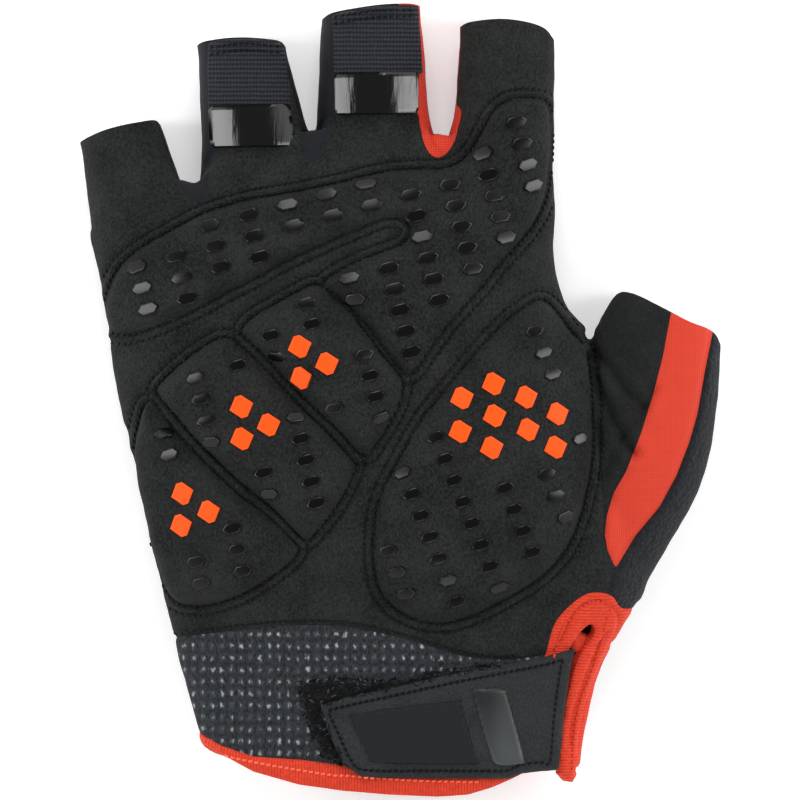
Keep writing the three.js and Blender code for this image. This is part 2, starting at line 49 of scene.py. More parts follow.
# Plan outlines in millimetres, from the frame's origin: +X towards the thumb, +Y towards the fingers
OUTLINES = {
    "cuff_line": [
        (-52.3, -50.7), (-41.8, -49.3), (-33.4, -48.2), (-25, -47.4), (-16.6, -47.2), (-10.3, -47.6),
        (-4, -48.9), (2.3, -50.5), (8.6, -52.4), (13.8, -53.9), (19.1, -54.5), (24.3, -54.5),
        (29.6, -53.7), (36.9, -52), (54.8, -50.3),
    ],
    "stripe": [
        (57.3, 21.1), (56.9, 18.2), (55.2, 9.1), (53.1, 0.9), (50.6, -7.1), (47.4, -15.2), (44.9, -19.5),
        (43.4, -24.5), (43, -28.1), (43.6, -31.6), (45.3, -35.4), (49.5, -28.5), (54.6, -22.4),
        (58.1, -15.9), (60.7, -9.2), (62.5, -3.1), (64.2, 6.6), (65.9, 14.8), (67, 21.1),
    ],
    "terry_edge": [
        (67, 21.1), (65.9, 14.8), (64.2, 6.6), (62.5, -3.1), (60.7, -9.2), (58.1, -15.9), (54.6, -22.4),
        (49.5, -28.5), (45.3, -35.4), (43.9, -40.2),
    ],
    "thumb_seam": [
        (39.7, 17.3), (40.5, 8.5), (41.3, 0.1), (41.8, -10.4), (42.4, -18.8), (43, -28.1),
    ],
    "gusset_little_ring": [
        (-47.7, 50.5), (-46.7, 46.3), (-44.8, 42.7), (-43.1, 41.5), (-41.4, 42.9), (-40.4, 45.9),
        (-40.1, 50.5),
    ],
    "gusset_ring_middle": [
        (-21, 56.2), (-20.2, 52.4), (-18.7, 49.9), (-17, 51.1), (-15.8, 53.9), (-15.4, 57.2),
    ],
    "gusset_middle_index": [
        (4.6, 61.4), (4.6, 55.8), (5.8, 52.4), (7.5, 50.9), (9.4, 51.5), (11.1, 53.7), (12.1, 56.8),
        (12.4, 61.8),
    ],
    "pad_knuckle": [
        (-62, 18.6), (-61.4, 23.2), (-59, 28), (-54.4, 32), (-48.1, 35.6), (-40.8, 39.4), (-32.4, 41.9),
        (-22.9, 43.6), (-13.5, 45.5), (-4, 47.8), (3.3, 48.6), (9.6, 48.8), (14, 51.3), (17, 56),
        (19.9, 61), (23.3, 63.1), (27.5, 63.5), (31.3, 62.3), (31.9, 56.8), (31.7, 49.4), (30.8, 43.1),
        (28.5, 37.5), (24.5, 32.4), (20.8, 28.4), (17, 23.6), (13.2, 19.4), (9.6, 15.2), (6.5, 11),
        (4, 7.2), (2.1, 5.3), (0.2, 6.8), (-2.8, 10.4), (-6.5, 15.4), (-10.3, 19.6), (-14.1, 22.8),
        (-16, 24.7), (-10.3, 28.4), (-4, 31), (0.2, 32.6), (2.3, 35.2), (0.8, 37.7), (-3, 38.1),
        (-7.2, 36.6), (-14.5, 33.5), (-22.9, 29.7), (-30.9, 25.3), (-36.6, 22.4), (-41.8, 19.6),
        (-47.1, 17.1), (-52.3, 15), (-56.5, 13.9), (-60.7, 14.2),
    ],
    "cushion_inner": [
        (-17.5, 24.2), (-14.1, 21.3), (-10.5, 18.2), (-7.4, 14.2), (-3.6, 9.1), (-0.5, 5.5), (0.6, 3.4),
        (-0, -0.3), (-1.9, -4.3), (-4.4, -8.3), (-6.8, -11.5), (-8.6, -11), (-11.6, -7.7), (-14.9, -4.3),
        (-18.9, -0.5), (-22.7, 3.2), (-26.5, 7.4), (-29.6, 10.6), (-32, 12.9), (-33.2, 14.8),
        (-30.9, 17.3), (-26.7, 19.8), (-22.1, 22.4),
    ],
    "cushion_middle": [
        (-34.1, 11.6), (-31.3, 9.3), (-28, 6), (-24.2, 1.8), (-20.4, -2), (-16.4, -5.8), (-13.1, -9.2),
        (-10.3, -12.3), (-9.3, -14), (-10.5, -17.1), (-12.4, -20.7), (-14.7, -24.3), (-17.5, -27.6),
        (-19.4, -29.5), (-21.5, -28.1), (-24.2, -25.1), (-28, -21.6), (-32.8, -17.8), (-38.5, -12.5),
        (-42.9, -8.1), (-47.1, -3.3), (-50, 0.1), (-51.3, 2), (-49.4, 4.5), (-46, 7.6), (-41.8, 10.8),
        (-38, 12.9), (-35.5, 12.9),
    ],
    "cushion_outer": [
        (-52.1, -0.3), (-49.2, -4.3), (-44.8, -9.4), (-40.1, -14.2), (-34.1, -19.7), (-29.2, -23.4),
        (-25.7, -26.6), (-22.7, -29.5), (-21.2, -31.4), (-23.3, -34.2), (-27.1, -37.1), (-31.3, -39.8),
        (-35.9, -41.9), (-40.8, -43.2), (-44.6, -43.2), (-47.5, -42.3), (-49.4, -39.4), (-51.1, -33.9),
        (-52.7, -28.3), (-54.2, -22), (-55.5, -15.7), (-55.9, -10), (-54.8, -4.1), (-53.6, -1),
    ],
    "pad_thumb": [
        (38.6, 11), (39.7, 5.3), (40.3, -1), (40.5, -8.3), (40.1, -14.6), (39, -20.5), (37.6, -25.5),
        (35.7, -30), (32.9, -33.9), (29.2, -37.5), (24.5, -40.5), (19.7, -43.2), (14.5, -45.5),
        (9.2, -46.8), (4.4, -46.3), (0.6, -44.9), (-2.6, -42.3), (-4.7, -38.8), (-5.5, -33.5),
        (-5.5, -28.3), (-4.9, -23), (-3.2, -18.2), (-0.7, -13.4), (2.1, -8.3), (4.8, -3.7), (8.2, 0.5),
        (11.9, 5.1), (15.7, 9.5), (19.1, 13.3), (22.2, 16.5), (25.4, 19), (28.5, 20.9), (30.8, 20.7),
        (33.4, 17.9), (36.1, 14.2),
    ],
    "loop_patch": [
        (-20.8, -59.6), (-14.5, -58.7), (-4, -59.2), (4.4, -57.9), (14.9, -56.2), (21.2, -56.2),
        (21.2, -75.5), (-12.4, -76), (-16.2, -74.5), (-18.5, -69.2), (-20.2, -64),
    ],
    "strap": [
        (-16.4, -64), (-11.6, -62.5), (-0, -60), (11.5, -57.5), (20.5, -55.8), (30.2, -53.9),
        (36.5, -52.2), (35.5, -56.2), (34.2, -65.7), (32.9, -77.6), (29.2, -77.8), (25.4, -78.3),
        (22.6, -79.5), (8.6, -79.5), (-7.8, -79.3), (-11.6, -76.6), (-14.1, -71.5), (-16.6, -65.9),
    ],
    "slit": [
        (40.1, -47), (41.1, -48.9), (39, -52), (37.1, -55.4), (35.2, -62.9), (33.8, -72.4),
        (32.9, -83.9), (25, -86), (28.5, -71.3), (32.1, -60.8), (35, -53.7), (37.1, -49.7),
    ],
    "slit_tape": [
        (27.5, -61.7), (30.6, -53.3), (32.3, -47.4), (35.2, -43.6), (38.8, -40.9), (41.8, -40.4),
        (44.7, -41.3), (46.6, -43.8), (50.6, -44.4), (54.8, -50.3), (54.8, -77.6), (38, -77.2),
        (37.3, -78.5), (36.2, -80.6), (34.8, -79.5), (33.1, -77.6), (32.1, -71.3), (30.6, -62.9),
    ],
    "badge": [
        (-10.3, -66.7), (-8.4, -65.7), (11.5, -63.1), (12.6, -63.8), (15.7, -74.7), (15.5, -76.4),
        (-5.1, -76), (-6.5, -74.7),
    ],
    "flash": [
        (15.3, -61.3), (16.8, -60.6), (21.6, -60.6), (22.4, -61.9), (26, -75.3), (25.8, -76.4),
        (20.5, -76.6), (19.1, -74.7),
    ],
    "crease_three": [
        (42.5, -16), (46, -9), (50.5, -3.5), (53.5, 2),
    ],
    "pleat": [
        (7.2, 58.5), (6.8, 55.6), (7.6, 53), (9, 51.6),
    ],
    "wrinkle_heel": [
        (-22, -35.5), (-10, -38), (4, -37.5), (16, -41.5), (26, -43),
    ],
    "wrinkle_web": [
        (-42, 44.5), (-33, 50), (-24, 52.5), (-17, 52), (-6, 56), (4, 55),
    ],
    "wrinkle_side": [
        (-57, -6), (-54.5, -20), (-51.5, -34), (-48.5, -44),
    ],
    "fold": [
        (36, -50.8), (37.2, -49.8), (38.7, -49.6), (40.4, -50.4), (40.2, -52), (38.4, -54.2), (36.9, -53.6),
    ],
    "tape_seam": [
        (32.5, -52.5), (34.5, -48.5), (36.8, -44.5), (40.1, -42.3), (42.4, -42.2), (44.7, -43.6),
        (45.9, -45.7), (45, -49.6), (42.3, -55.4), (40, -61), (38.2, -67), (37.3, -74),
    ],
    "leg_seam": [
        (43.5, -48.5), (40.7, -53.8), (38.1, -60.5), (36.5, -66), (35.6, -72.5),
    ],
    "crease_one": [
        (39.9, 13.1), (41.7, 9.6), (43.9, 6.6), (48.5, 0.9), (51, -1.4),
    ],
    "crease_two": [
        (40.3, 9.1), (41.9, 3), (43.9, -2), (47.4, -8.7), (49.4, -11.4),
    ],
    "webbing_ring": [
        (-40.1, 75.7), (-33.4, 76.5), (-25.4, 75.9), (-25, 74), (-23.3, 61.8), (-39.9, 61.4),
    ],
    "webbing_middle": [
        (-13.9, 81.8), (-5.1, 82.8), (3.1, 83.3), (3.3, 82), (4.2, 68.6), (-13.5, 68.1),
    ],
    "grip_ring": [
        (-38.8, 61.7), (-24.6, 62.1), (-23.9, 61.4), (-22.9, 54), (-23.6, 53.1), (-38.2, 53),
        (-38.9, 53.8), (-39.4, 61),
    ],
    "grip_middle": [
        (-12.6, 68.6), (2.3, 69), (3, 68.2), (3.1, 60.9), (2.4, 60), (-12.4, 59.8), (-13.1, 60.6),
        (-13.1, 67.9),
    ],
}

# Palm sections from below the hem to the finger webs, in millimetres: left x, y, right x, y, bow
# towards the fingers on the palm side and on the back, half depth, mid height
PALM_SECTIONS = [
    (-39.9, -80.5, 36.3, -84.5, -8.4, -2, 11.5, 11.1),
    (-41.2, -72.8, 37.3, -77.2, -8.4, -2, 11.5, 11.1),
    (-43.3, -65.5, 39.2, -65.5, -5, -1.3, 11.5, 11.1),
    (-45.6, -57.1, 42, -56.2, -2.9, -0.8, 11.8, 11.3),
    (-48.1, -47.2, 46.6, -47.2, -1.7, -0.3, 12.6, 12.2),
    (-50.6, -37.7, 51.8, -37.7, -0.8, 0, 13.7, 13.2),
    (-53.4, -27.2, 51, -27.2, 0, 0, 14.6, 14),
    (-55.7, -15.7, 47.6, -15.7, 1.7, 1.7, 14.8, 14.3),
    (-58.4, -3.1, 43.4, -2, 3.4, 3.4, 14.8, 14.3),
    (-60.9, 10.6, 39.7, 13.1, 5.9, 5.9, 14.6, 14),
    (-62, 17.2, 35, 20, 7.8, 7.8, 14.2, 13.6),
    (-62.9, 23.2, 32.4, 28.6, 9.7, 9.7, 13.6, 13.1),
    (-64.3, 30.5, 32.5, 41, 12.6, 12.6, 12, 11.9),
    (-65.3, 34.7, 32.3, 47.6, 14.9, 14.9, 9.2, 11.8),
    (-64.8, 35.6, 32, 48.6, 15, 15, 6, 11.8),
]
# Thumb sections from the ball of the thumb past its opening
THUMB_SECTIONS = [
    (39, -39.8, 50.6, -41.9, 0, 0, 3.8, 11.8),
    (33.8, -30.4, 53.1, -36, 0, 0, 7.6, 11.8),
    (32.9, -20.9, 59, -26.2, 0, 0, 9.5, 11.8),
    (33.8, -11.5, 63.2, -17.6, 0, 0, 10.3, 11.8),
    (35.5, -2, 65.5, -9.6, 0, 0, 10.5, 11.8),
    (38, 6, 66.5, -1.6, 0, 0, 10.5, 11.8),
    (40.9, 13.7, 67.2, 6, 0.7, 0.7, 10.3, 11.8),
    (43.4, 20.1, 67.5, 12.3, 1, 1, 10.1, 11.8),
    (45, 26.4, 68.2, 19, 1, 1, 10, 11.8),
]
# Finger tubes: root, tip, width at root and at tip, in millimetres
FINGERS = {
    "little": ((-51.6, 26.5), (-59.1, 56.8), 23.4, 17.1),
    "ring": ((-28, 36.4), (-33.6, 75.4), 24.8, 18.4),
    "middle": ((-5.4, 43.6), (-6.1, 82.6), 25.3, 20.7),
    "index": ((21.4, 38.9), (22.6, 78.6), 21.7, 19.9),
}
# Cut ends of the fingers and the thumb, from left to right
TIP_EDGES = {
    "little": [
        (-70, 52.6), (-66.9, 54.6), (-63, 56.4), (-59, 57.6), (-55, 58.4), (-51.4, 58.9), (-50.2, 57.6),
        (-48, 57),
    ],
    "ring": [
        (-44, 72.5), (-42.3, 75), (-38, 75.9), (-33.4, 76.2), (-29, 76), (-25.2, 75.5), (-23.8, 74),
        (-22, 73),
    ],
    "middle": [
        (-18, 78.5), (-16.1, 80.4), (-14, 81.5), (-9, 82.4), (-4, 83.1), (1, 83.4), (3.6, 83.2),
        (5.2, 82.4), (7, 82),
    ],
    "index": [
        (11, 77), (13.3, 79), (16, 79.7), (21.4, 80.1), (26.5, 79.5), (30.4, 78.2), (32.2, 76.2),
        (34, 74),
    ],
    "thumb": [
        (42.6, 17.6), (43.6, 19.4), (45.2, 21.8), (47, 22.8), (50.5, 21.7), (56, 19), (60.6, 16.6),
        (64.8, 15), (66.6, 13.6), (67.6, 11.6), (70, 8),
    ],
}
# Where each side of a finger widens into its web: height and extra width, left then right
FLARES = {
    "little": ((0, 0), (47, 0.6)),
    "ring": ((47.5, 2.9), (56, 0.4)),
    "middle": ((56, 0.4), (55, 1)),
    "index": ((55, 1.4), (0, 0)),
}
# Half depth of a finger, and height of the seam between palm and back
FINGER_HALF = 9.3
SEAM = 11.8
# Side strips between the fingers: the two fingers and how far the strip climbs on each
FOURCHETTES = {
    "little_ring": ("little", "ring", 3.6, 7.2),
    "ring_middle": ("ring", "middle", 3.6, 7.2),
    "middle_index": ("middle", "index", 7.4, 1),
}
# Lower edge of the palm side of the cuff, x and y
HEM_EDGE = [
    (-42, -72.2), (-37.4, -74.6), (-30.9, -78.1), (-21.2, -80.8), (-11.5, -82.1), (-1.9, -82.9),
    (7.8, -83.3), (14.3, -82.9), (19.3, -81.4), (23.3, -79.7), (27.1, -77.8), (30.7, -76.6),
    (37.4, -76),
]
# Stitch lines on the hem tape and on the right leg of the slit's tape
HEM_STITCHES = [
    (-39, -74.2), (-32.8, -75.7), (-24.4, -77.2), (-14.7, -78.7), (-11, -78.9), (4, -79.9), (16.1, -80.2),
]
TAB_STITCHES = {
    "ring": [(-39.6, 74.1), (-33, 74.9), (-25.8, 74.5)],
    "middle": [(-13.5, 80.6), (-6, 81.7), (2.2, 82.1)],
}
LEG_STITCHES = [
    (43.6, -45.8), (42.4, -50.8), (40.2, -57.5), (37.9, -63.5), (36.6, -70.5), (36.2, -77.5),
]
# How far each gel pad stands out
PADS = {
    "pad_knuckle": 1.7,
    "cushion_outer": 2.7,
    "cushion_middle": 2.7,
    "cushion_inner": 2.7,
    "pad_thumb": 2.4,
}
# Grip dot lattices: a dot's place, the step along a row, the step to the next row, length and width
DOTS = {
    "pad_knuckle": ((-45.8, 25.7), (8.2, 2.15), (1.2, -4.4), 4.8, 2.5),
    "cushion_outer": ((-40.6, -4.3), (8.8, 2.6), (1.1, -4.5), 4.3, 2.3),
    "cushion_middle": ((-40.6, -4.3), (8.8, 2.6), (1.1, -4.5), 4.2, 2.2),
    "cushion_inner": ((-6.3, 5.1), (8.6, 2.4), (1.2, -4.4), 4.2, 2.2),
    "pad_thumb": ((15.1, -25.8), (8.8, 2.9), (1.9, -4.5), 4.1, 2.2),
}
# Orange print: centres of small hexagons
PRINT_SPOTS = {
    "cushion_outer": [(-45.6, -19.6), (-40.1, -23.4), (-45.9, -26.3)],
    "cushion_middle": [(-33.2, -1.4), (-27.5, -5.2), (-33.1, -8.1)],
    "cushion_inner": [(-21, 11.2), (-15.3, 7.6), (-20.8, 4.6)],
    "pad_thumb": [
        (13, 0.4), (19.6, 3.4), (26.4, 0.6), (12.6, -6.6), (26.8, -6.2), (19.2, -10), (33, -2.9),
        (19.8, -3.3), (32.6, -9.9),
    ],
}


# Colours: label and sRGB hex value
COLOURS = {
    "leather_dark": ("Palm suede, dark", "101211"),
    "leather_light": ("Palm suede, light", "2D2F2E"),
    "thumb_dark": ("Thumb suede, dark", "171918"),
    "thumb_light": ("Thumb suede, light", "272928"),
    "strap_dark": ("Strap, dark", "242526"),
    "strap_light": ("Strap, light", "333537"),
    "back_dark": ("Back jersey, dark", "111218"),
    "back_light": ("Back jersey, light", "1C1D25"),
    "gusset_dark": ("Red gusset, dark", "B8301F"),
    "gusset_light": ("Red gusset, light", "E2452F"),
    "stripe_dark": ("Thumb stripe, dark", "BE3825"),
    "stripe_light": ("Thumb stripe, light", "DE4533"),
    "terry_light": ("Terry loops", "292C32"),
    "terry_dark": ("Terry hollows", "131519"),
    "knit_dark": ("Cuff knit, dark", "16181A"),
    "knit_light": ("Cuff knit, light", "404448"),
    "knit_fleck": ("Cuff knit, flecks", "9DA2A4"),
    "tape_dark": ("Tape, dark", "B8311C"),
    "tape_light": ("Tape, light", "E2442B"),
    "pile_dark": ("Loop patch, dark", "0A0B0D"),
    "pile_light": ("Loop patch, light", "2C2F33"),
    "hair_dark": ("Pile loops, dark", "0D0E10"),
    # Pale pile loops: a painted highlight on the black loop pile
    "hair_painted_highlight": ("Pile loops, painted highlight", "4A4D52"),
    "webbing_dark": ("Webbing, dark", "17191D"),
    "webbing_light": ("Webbing, light", "34373D"),
    "grip": ("Glossy grips", "0C0C0D"),
    "dots": ("Grip dots", "060607"),
    "print": ("Orange print", "FF5414"),
    "badge": ("Badge inlay", "1C1D1F"),
    "flash_dark": ("Flash inlay, upper end", "1A1C1D"),
    # Flash inlay, lower end: a painted highlight on the film
    "flash_light": ("Flash inlay, painted highlight at lower end", "3A3F40"),
    "thread_dark": ("Seam thread", "0A0B10"),
    "thread_light": ("Hem thread", "F4694E"),
    "thread_red": ("Slit tape thread", "C93A26"),
    "floor": ("Floor", "FBFBFB"),
}


# The skin, its fields and the cloth made so far, kept between the operators
WORK = {}


def hexed(colour):
    """Linear RGBA of an sRGB hex string."""
    parts = [int(colour[i : i + 2], 16) / 255 for i in (0, 2, 4)]
    return (*[p / 12.92 if p <= 0.04045 else ((p + 0.055) / 1.055) ** 2.4 for p in parts], 1.0)


def ring_of(row, roundness, count):
    """Points of one rounded section standing on the line from its left to its right end."""
    left, right = np.array(row[0:2]), np.array(row[2:4])
    bow, back_bow, half, height = row[4:8]
    across = right - left
    reach = np.linalg.norm(across) / 2
    across = across / (2 * reach)
    middle = (left + right) / 2
    angle = -2 * np.pi * np.arange(count) / count
    side = np.sign(np.cos(angle)) * np.abs(np.cos(angle)) ** (2 / roundness)
    rise = np.sign(np.sin(angle)) * np.abs(np.sin(angle)) ** (2 / roundness)
    push = (back_bow + (bow - back_bow) * (0.5 + 0.5 * np.sin(angle))) * (1 - side**2)
    return np.column_stack(
        [
            middle[0] + across[0] * side * reach - across[1] * push,
            middle[1] + across[1] * side * reach + across[0] * push,
            height + rise * half,
        ]
    )


def curve_point(p0, p1, p2, p3, t):
    """A point between p1 and p2 on a smooth curve through all four."""
    return 0.5 * (
        2 * p1
        + (p2 - p0) * t
        + (2 * p0 - 5 * p1 + 4 * p2 - p3) * t**2
        + (3 * p1 - p0 - 3 * p2 + p3) * t**3
    )


def between_rows(rows, steps):
    """Rows with smooth ones put in between, through the given ones."""
    rows = np.array(rows, float)
    padded_rows = np.vstack([2 * rows[0] - rows[1], rows, 2 * rows[-1] - rows[-2]])
    out = []
    for i in range(len(rows) - 1):
        p0, p1, p2, p3 = padded_rows[i : i + 4]
        for t in np.arange(steps) / steps:
            out.append(curve_point(p0, p1, p2, p3, t))
    out.append(rows[-1])
    return out


def tube(rows, roundness, count, steps):
    """A closed tube through smoothed sections."""
    rings = [ring_of(row, roundness, count) for row in between_rows(rows, steps)]
    verts = np.vstack(rings)
    faces = []
    for r in range(len(rings) - 1):
        for i in range(count):
            j = (i + 1) % count
            faces.append((r * count + i, r * count + j, (r + 1) * count + j, (r + 1) * count + i))
    faces.append(tuple(range(count))[::-1])
    last = (len(rings) - 1) * count
    faces.append(tuple(range(last, last + count)))
    return verts, faces


def finger_rows(name):
    """Sections of a finger, carried past its tip."""
    root, tip, root_width, tip_width = FINGERS[name]
    root, tip = np.array(root), np.array(tip)
    along = (tip - root) / np.linalg.norm(tip - root)
    across = np.array([along[1], -along[0]])
    rows = []
    (left_web, left_flare), (right_web, right_flare) = FLARES[name]
    for at in np.linspace(0, 1.15, 13):
        half = np.interp(at, (0, 0.25, 0.5, 0.75, 1), (0.97, 1.05, 1.04, 1.01, 0.99))
        centre = root + (tip - root) * at
        reach = (root_width + (tip_width - root_width) * min(at, 1)) / 2
        left = centre - across * (reach + left_flare * math.exp(-max(centre[1] - left_web, 0) / 3.5))
        right = centre + across * (reach + right_flare * math.exp(-max(centre[1] - right_web, 0) / 3.5))
        rows.append((*left, *right, 0, 0, half * FINGER_HALF, SEAM))
    return rows


def mesh_arrays(mesh):
    """Vertices and triangles of a Blender mesh."""
    verts = np.empty(len(mesh.vertices) * 3)
    mesh.vertices.foreach_get("co", verts)
    mesh.calc_loop_triangles()
    tris = np.empty(len(mesh.loop_triangles) * 3, np.int32)
    mesh.loop_triangles.foreach_get("vertices", tris)
    return verts.reshape(-1, 3), tris.reshape(-1, 3)


def edges_of(tris):
    """Each edge of the triangles once."""
    pairs = np.sort(np.vstack([tris[:, [0, 1]], tris[:, [1, 2]], tris[:, [2, 0]]]), axis=1)
    return np.unique(pairs, axis=0)


def relaxed(verts, tris, rounds):
    """Vertices smoothed without shrinking."""
    edges = edges_of(tris)
    a, b = edges[:, 0], edges[:, 1]
    degree = np.bincount(edges.ravel(), minlength=len(verts))[:, None]
    for i in range(rounds * 2):
        total = np.column_stack(
            [
                np.bincount(a, verts[b, k], len(verts)) + np.bincount(b, verts[a, k], len(verts))
                for k in range(3)
            ]
        )
        verts = verts + (0.5 if i % 2 == 0 else -0.51) * (total / degree - verts)
    return verts


def normals_of(verts, tris):
    """Smooth vertex normals."""
    a, b, c = verts[tris[:, 0]], verts[tris[:, 1]], verts[tris[:, 2]]
    face = np.cross(b - a, c - a)
    total = np.zeros_like(verts)
    for k in range(3):
        for axis in range(3):
            total[:, axis] += np.bincount(tris[:, k], face[:, axis], len(verts))
    return total / np.maximum(np.linalg.norm(total, axis=1), 1e-12)[:, None]


def smooth_path(points, closed=True, step=1.1):
    """Even points, a step apart in millimetres, on a smooth curve through the given ones."""
    points = np.array(points, float)
    if closed:
        points = np.vstack([points[-1], points, points[0], points[1]])
    else:
        points = np.vstack([2 * points[0] - points[1], points, 2 * points[-1] - points[-2]])
    dense = []
    for i in range(len(points) - 3):
        p0, p1, p2, p3 = points[i : i + 4]
        for t in np.arange(8) / 8:
            dense.append(curve_point(p0, p1, p2, p3, t))
    dense.append(points[-2])
    dense = np.array(dense)
    length = np.concatenate([[0], np.cumsum(np.linalg.norm(np.diff(dense, axis=0), axis=1))])
    count = max(4, int(round(length[-1] / step)))
    at = np.linspace(0, length[-1], count + 1)
    path = np.column_stack([np.interp(at, length, dense[:, k]) for k in range(2)])
    return path[:-1] if closed else path


def path_distance(spots, path, closed):
    """Distance in plan from each spot to a path."""
    ends = np.roll(path, -1, axis=0) if closed else path[1:]
    starts = path if closed else path[:-1]
    best = np.full(len(spots), 1e9)
    for p, q in zip(starts, ends):
        d = q - p
        t = np.clip(((spots - p) @ d) / max(d @ d, 1e-12), 0, 1)
        best = np.minimum(best, ((spots - p - t[:, None] * d) ** 2).sum(axis=1))
    return np.sqrt(best)


def inside(spots, path):
    """Distance in plan to a closed path, above zero inside it and below zero outside."""
    sign = np.zeros(len(spots), bool)
    x, y = spots[:, 0], spots[:, 1]
    for (x0, y0), (x1, y1) in zip(path, np.roll(path, -1, axis=0)):
        crosses = (y0 > y) != (y1 > y)
        sign ^= crosses & (x < (x1 - x0) * (y - y0) / (y1 - y0 if y1 != y0 else 1e-12) + x0)
    return np.where(sign, 1, -1) * path_distance(spots, path, True)


def outline(name, closed=True, round_it=True):
    """A named plan outline, as a smooth path or as its own points."""
    if round_it:
        return smooth_path(OUTLINES[name], closed)
    return np.array(OUTLINES[name], float)


def bump_at(distance, width):
    """One at no distance, falling smoothly to nothing past the width."""
    return np.exp(-((distance / width) ** 2))


def fourchette_field(co, key):
    """Above zero where a side strip and its web lie."""
    first, second, low_side, high_side = FOURCHETTES[key]
    ends = []
    away = []
    for name in (first, second):
        root, tip = (np.array(p) for p in FINGERS[name][:2])
        ends.append((root, tip + (tip - root) * 0.4))
        away.append(path_distance(co[:, :2], np.array([root, tip + (tip - root) * 0.4]), False))
    area = np.array([ends[0][1], ends[0][0], ends[1][0], ends[1][1]])
    share = np.clip(0.5 + (away[0] - away[1]) / 6, 0, 1)
    climb = low_side * (1 - share) + high_side * share
    web = min(point[1] for point in OUTLINES["gusset_" + key]) + 4
    climb = climb * np.clip((co[:, 1] - web) / 7, 0.2, 1)
    sides = np.minimum(inside(co[:, :2], area), np.minimum(climb + SEAM - co[:, 2], co[:, 2] - SEAM + 5.5))
    gusset = np.minimum(inside(co[:, :2], outline("gusset_" + key)), co[:, 2] - SEAM + 5.5)
    return np.maximum(sides, gusset)


def tip_field(co):
    """Above zero on the kept side of the fingers' and the thumb's cut ends."""
    beyond = []
    for edge in TIP_EDGES.values():
        (x0, y0), (x1, y1) = edge[0], edge[-1]
        line = smooth_path(edge, False, 0.8)
        beyond.append(inside(co[:, :2], np.vstack([line, [(x1, y1 + 30), (x0, y0 + 30)]])))
    return -np.maximum.reduce(beyond)


def hem_field(co):
    """Distance above the wrist hem, on the palm side and on the back."""
    front = np.interp(co[:, 0], *np.array(HEM_EDGE).T)
    side = (co[:, 0] + 2) / 39.5
    back = -75 - 1.5 * (1 - np.clip(side**2, 0, 1))
    rise = np.clip((co[:, 2] - 11.1) / 11.5, -1, 1)
    share = np.clip(1 + rise / 0.6, 0, 1) ** 0.8
    return co[:, 1] - (back + (front - back) * share)


def body_surface():
    """The whole mitt as one smooth skin with its pads, seams and creases, in millimetres."""
    if "body" in WORK:
        return WORK["body"]
    verts, faces = [], []
    tubes = [tube(PALM_SECTIONS, 2.3, 120, 6), tube(THUMB_SECTIONS, 2.15, 72, 6)]
    tubes += [tube(finger_rows(name), 2.15, 64, 3) for name in FINGERS]
    start = 0
    for part_verts, part_faces in tubes:
        verts.append(part_verts)
        faces += [tuple(v + start for v in face) for face in part_faces]
        start += len(part_verts)
    mesh = bpy.data.meshes.new("rough")
    mesh.from_pydata(np.vstack(verts).tolist(), [], faces)
    rough = bpy.data.objects.new("rough", mesh)
    bpy.context.scene.collection.objects.link(rough)
    remesh = rough.modifiers.new("remesh", "REMESH")
    remesh.mode = "VOXEL"
    remesh.voxel_size = sizes().skin_step * 1000
    rough.modifiers.new("triangles", "TRIANGULATE")
    seen = bpy.context.evaluated_depsgraph_get()
    fine = bpy.data.meshes.new_from_object(rough.evaluated_get(seen))
    co, tris = mesh_arrays(fine)
    bpy.data.objects.remove(rough)
    bpy.data.meshes.remove(mesh)
    bpy.data.meshes.remove(fine)
    co = relaxed(co, tris, 9)
    dip = np.hypot(co[:, 0] + 42.8, co[:, 1] - 50) / 4
    co[:, 1] -= 3.8 * np.exp(-(dip**2))
    co[:, 2] = np.maximum(co[:, 2], 0.05)
    no = normals_of(co, tris)
    co = co + no * relief(co, no)[:, None]
    co[:, 2] = np.maximum(co[:, 2], 0.02)
    co = relaxed(co, tris, 1)
    no = normals_of(co, tris)
    WORK["body"] = (co, no, tris)
    return WORK["body"]


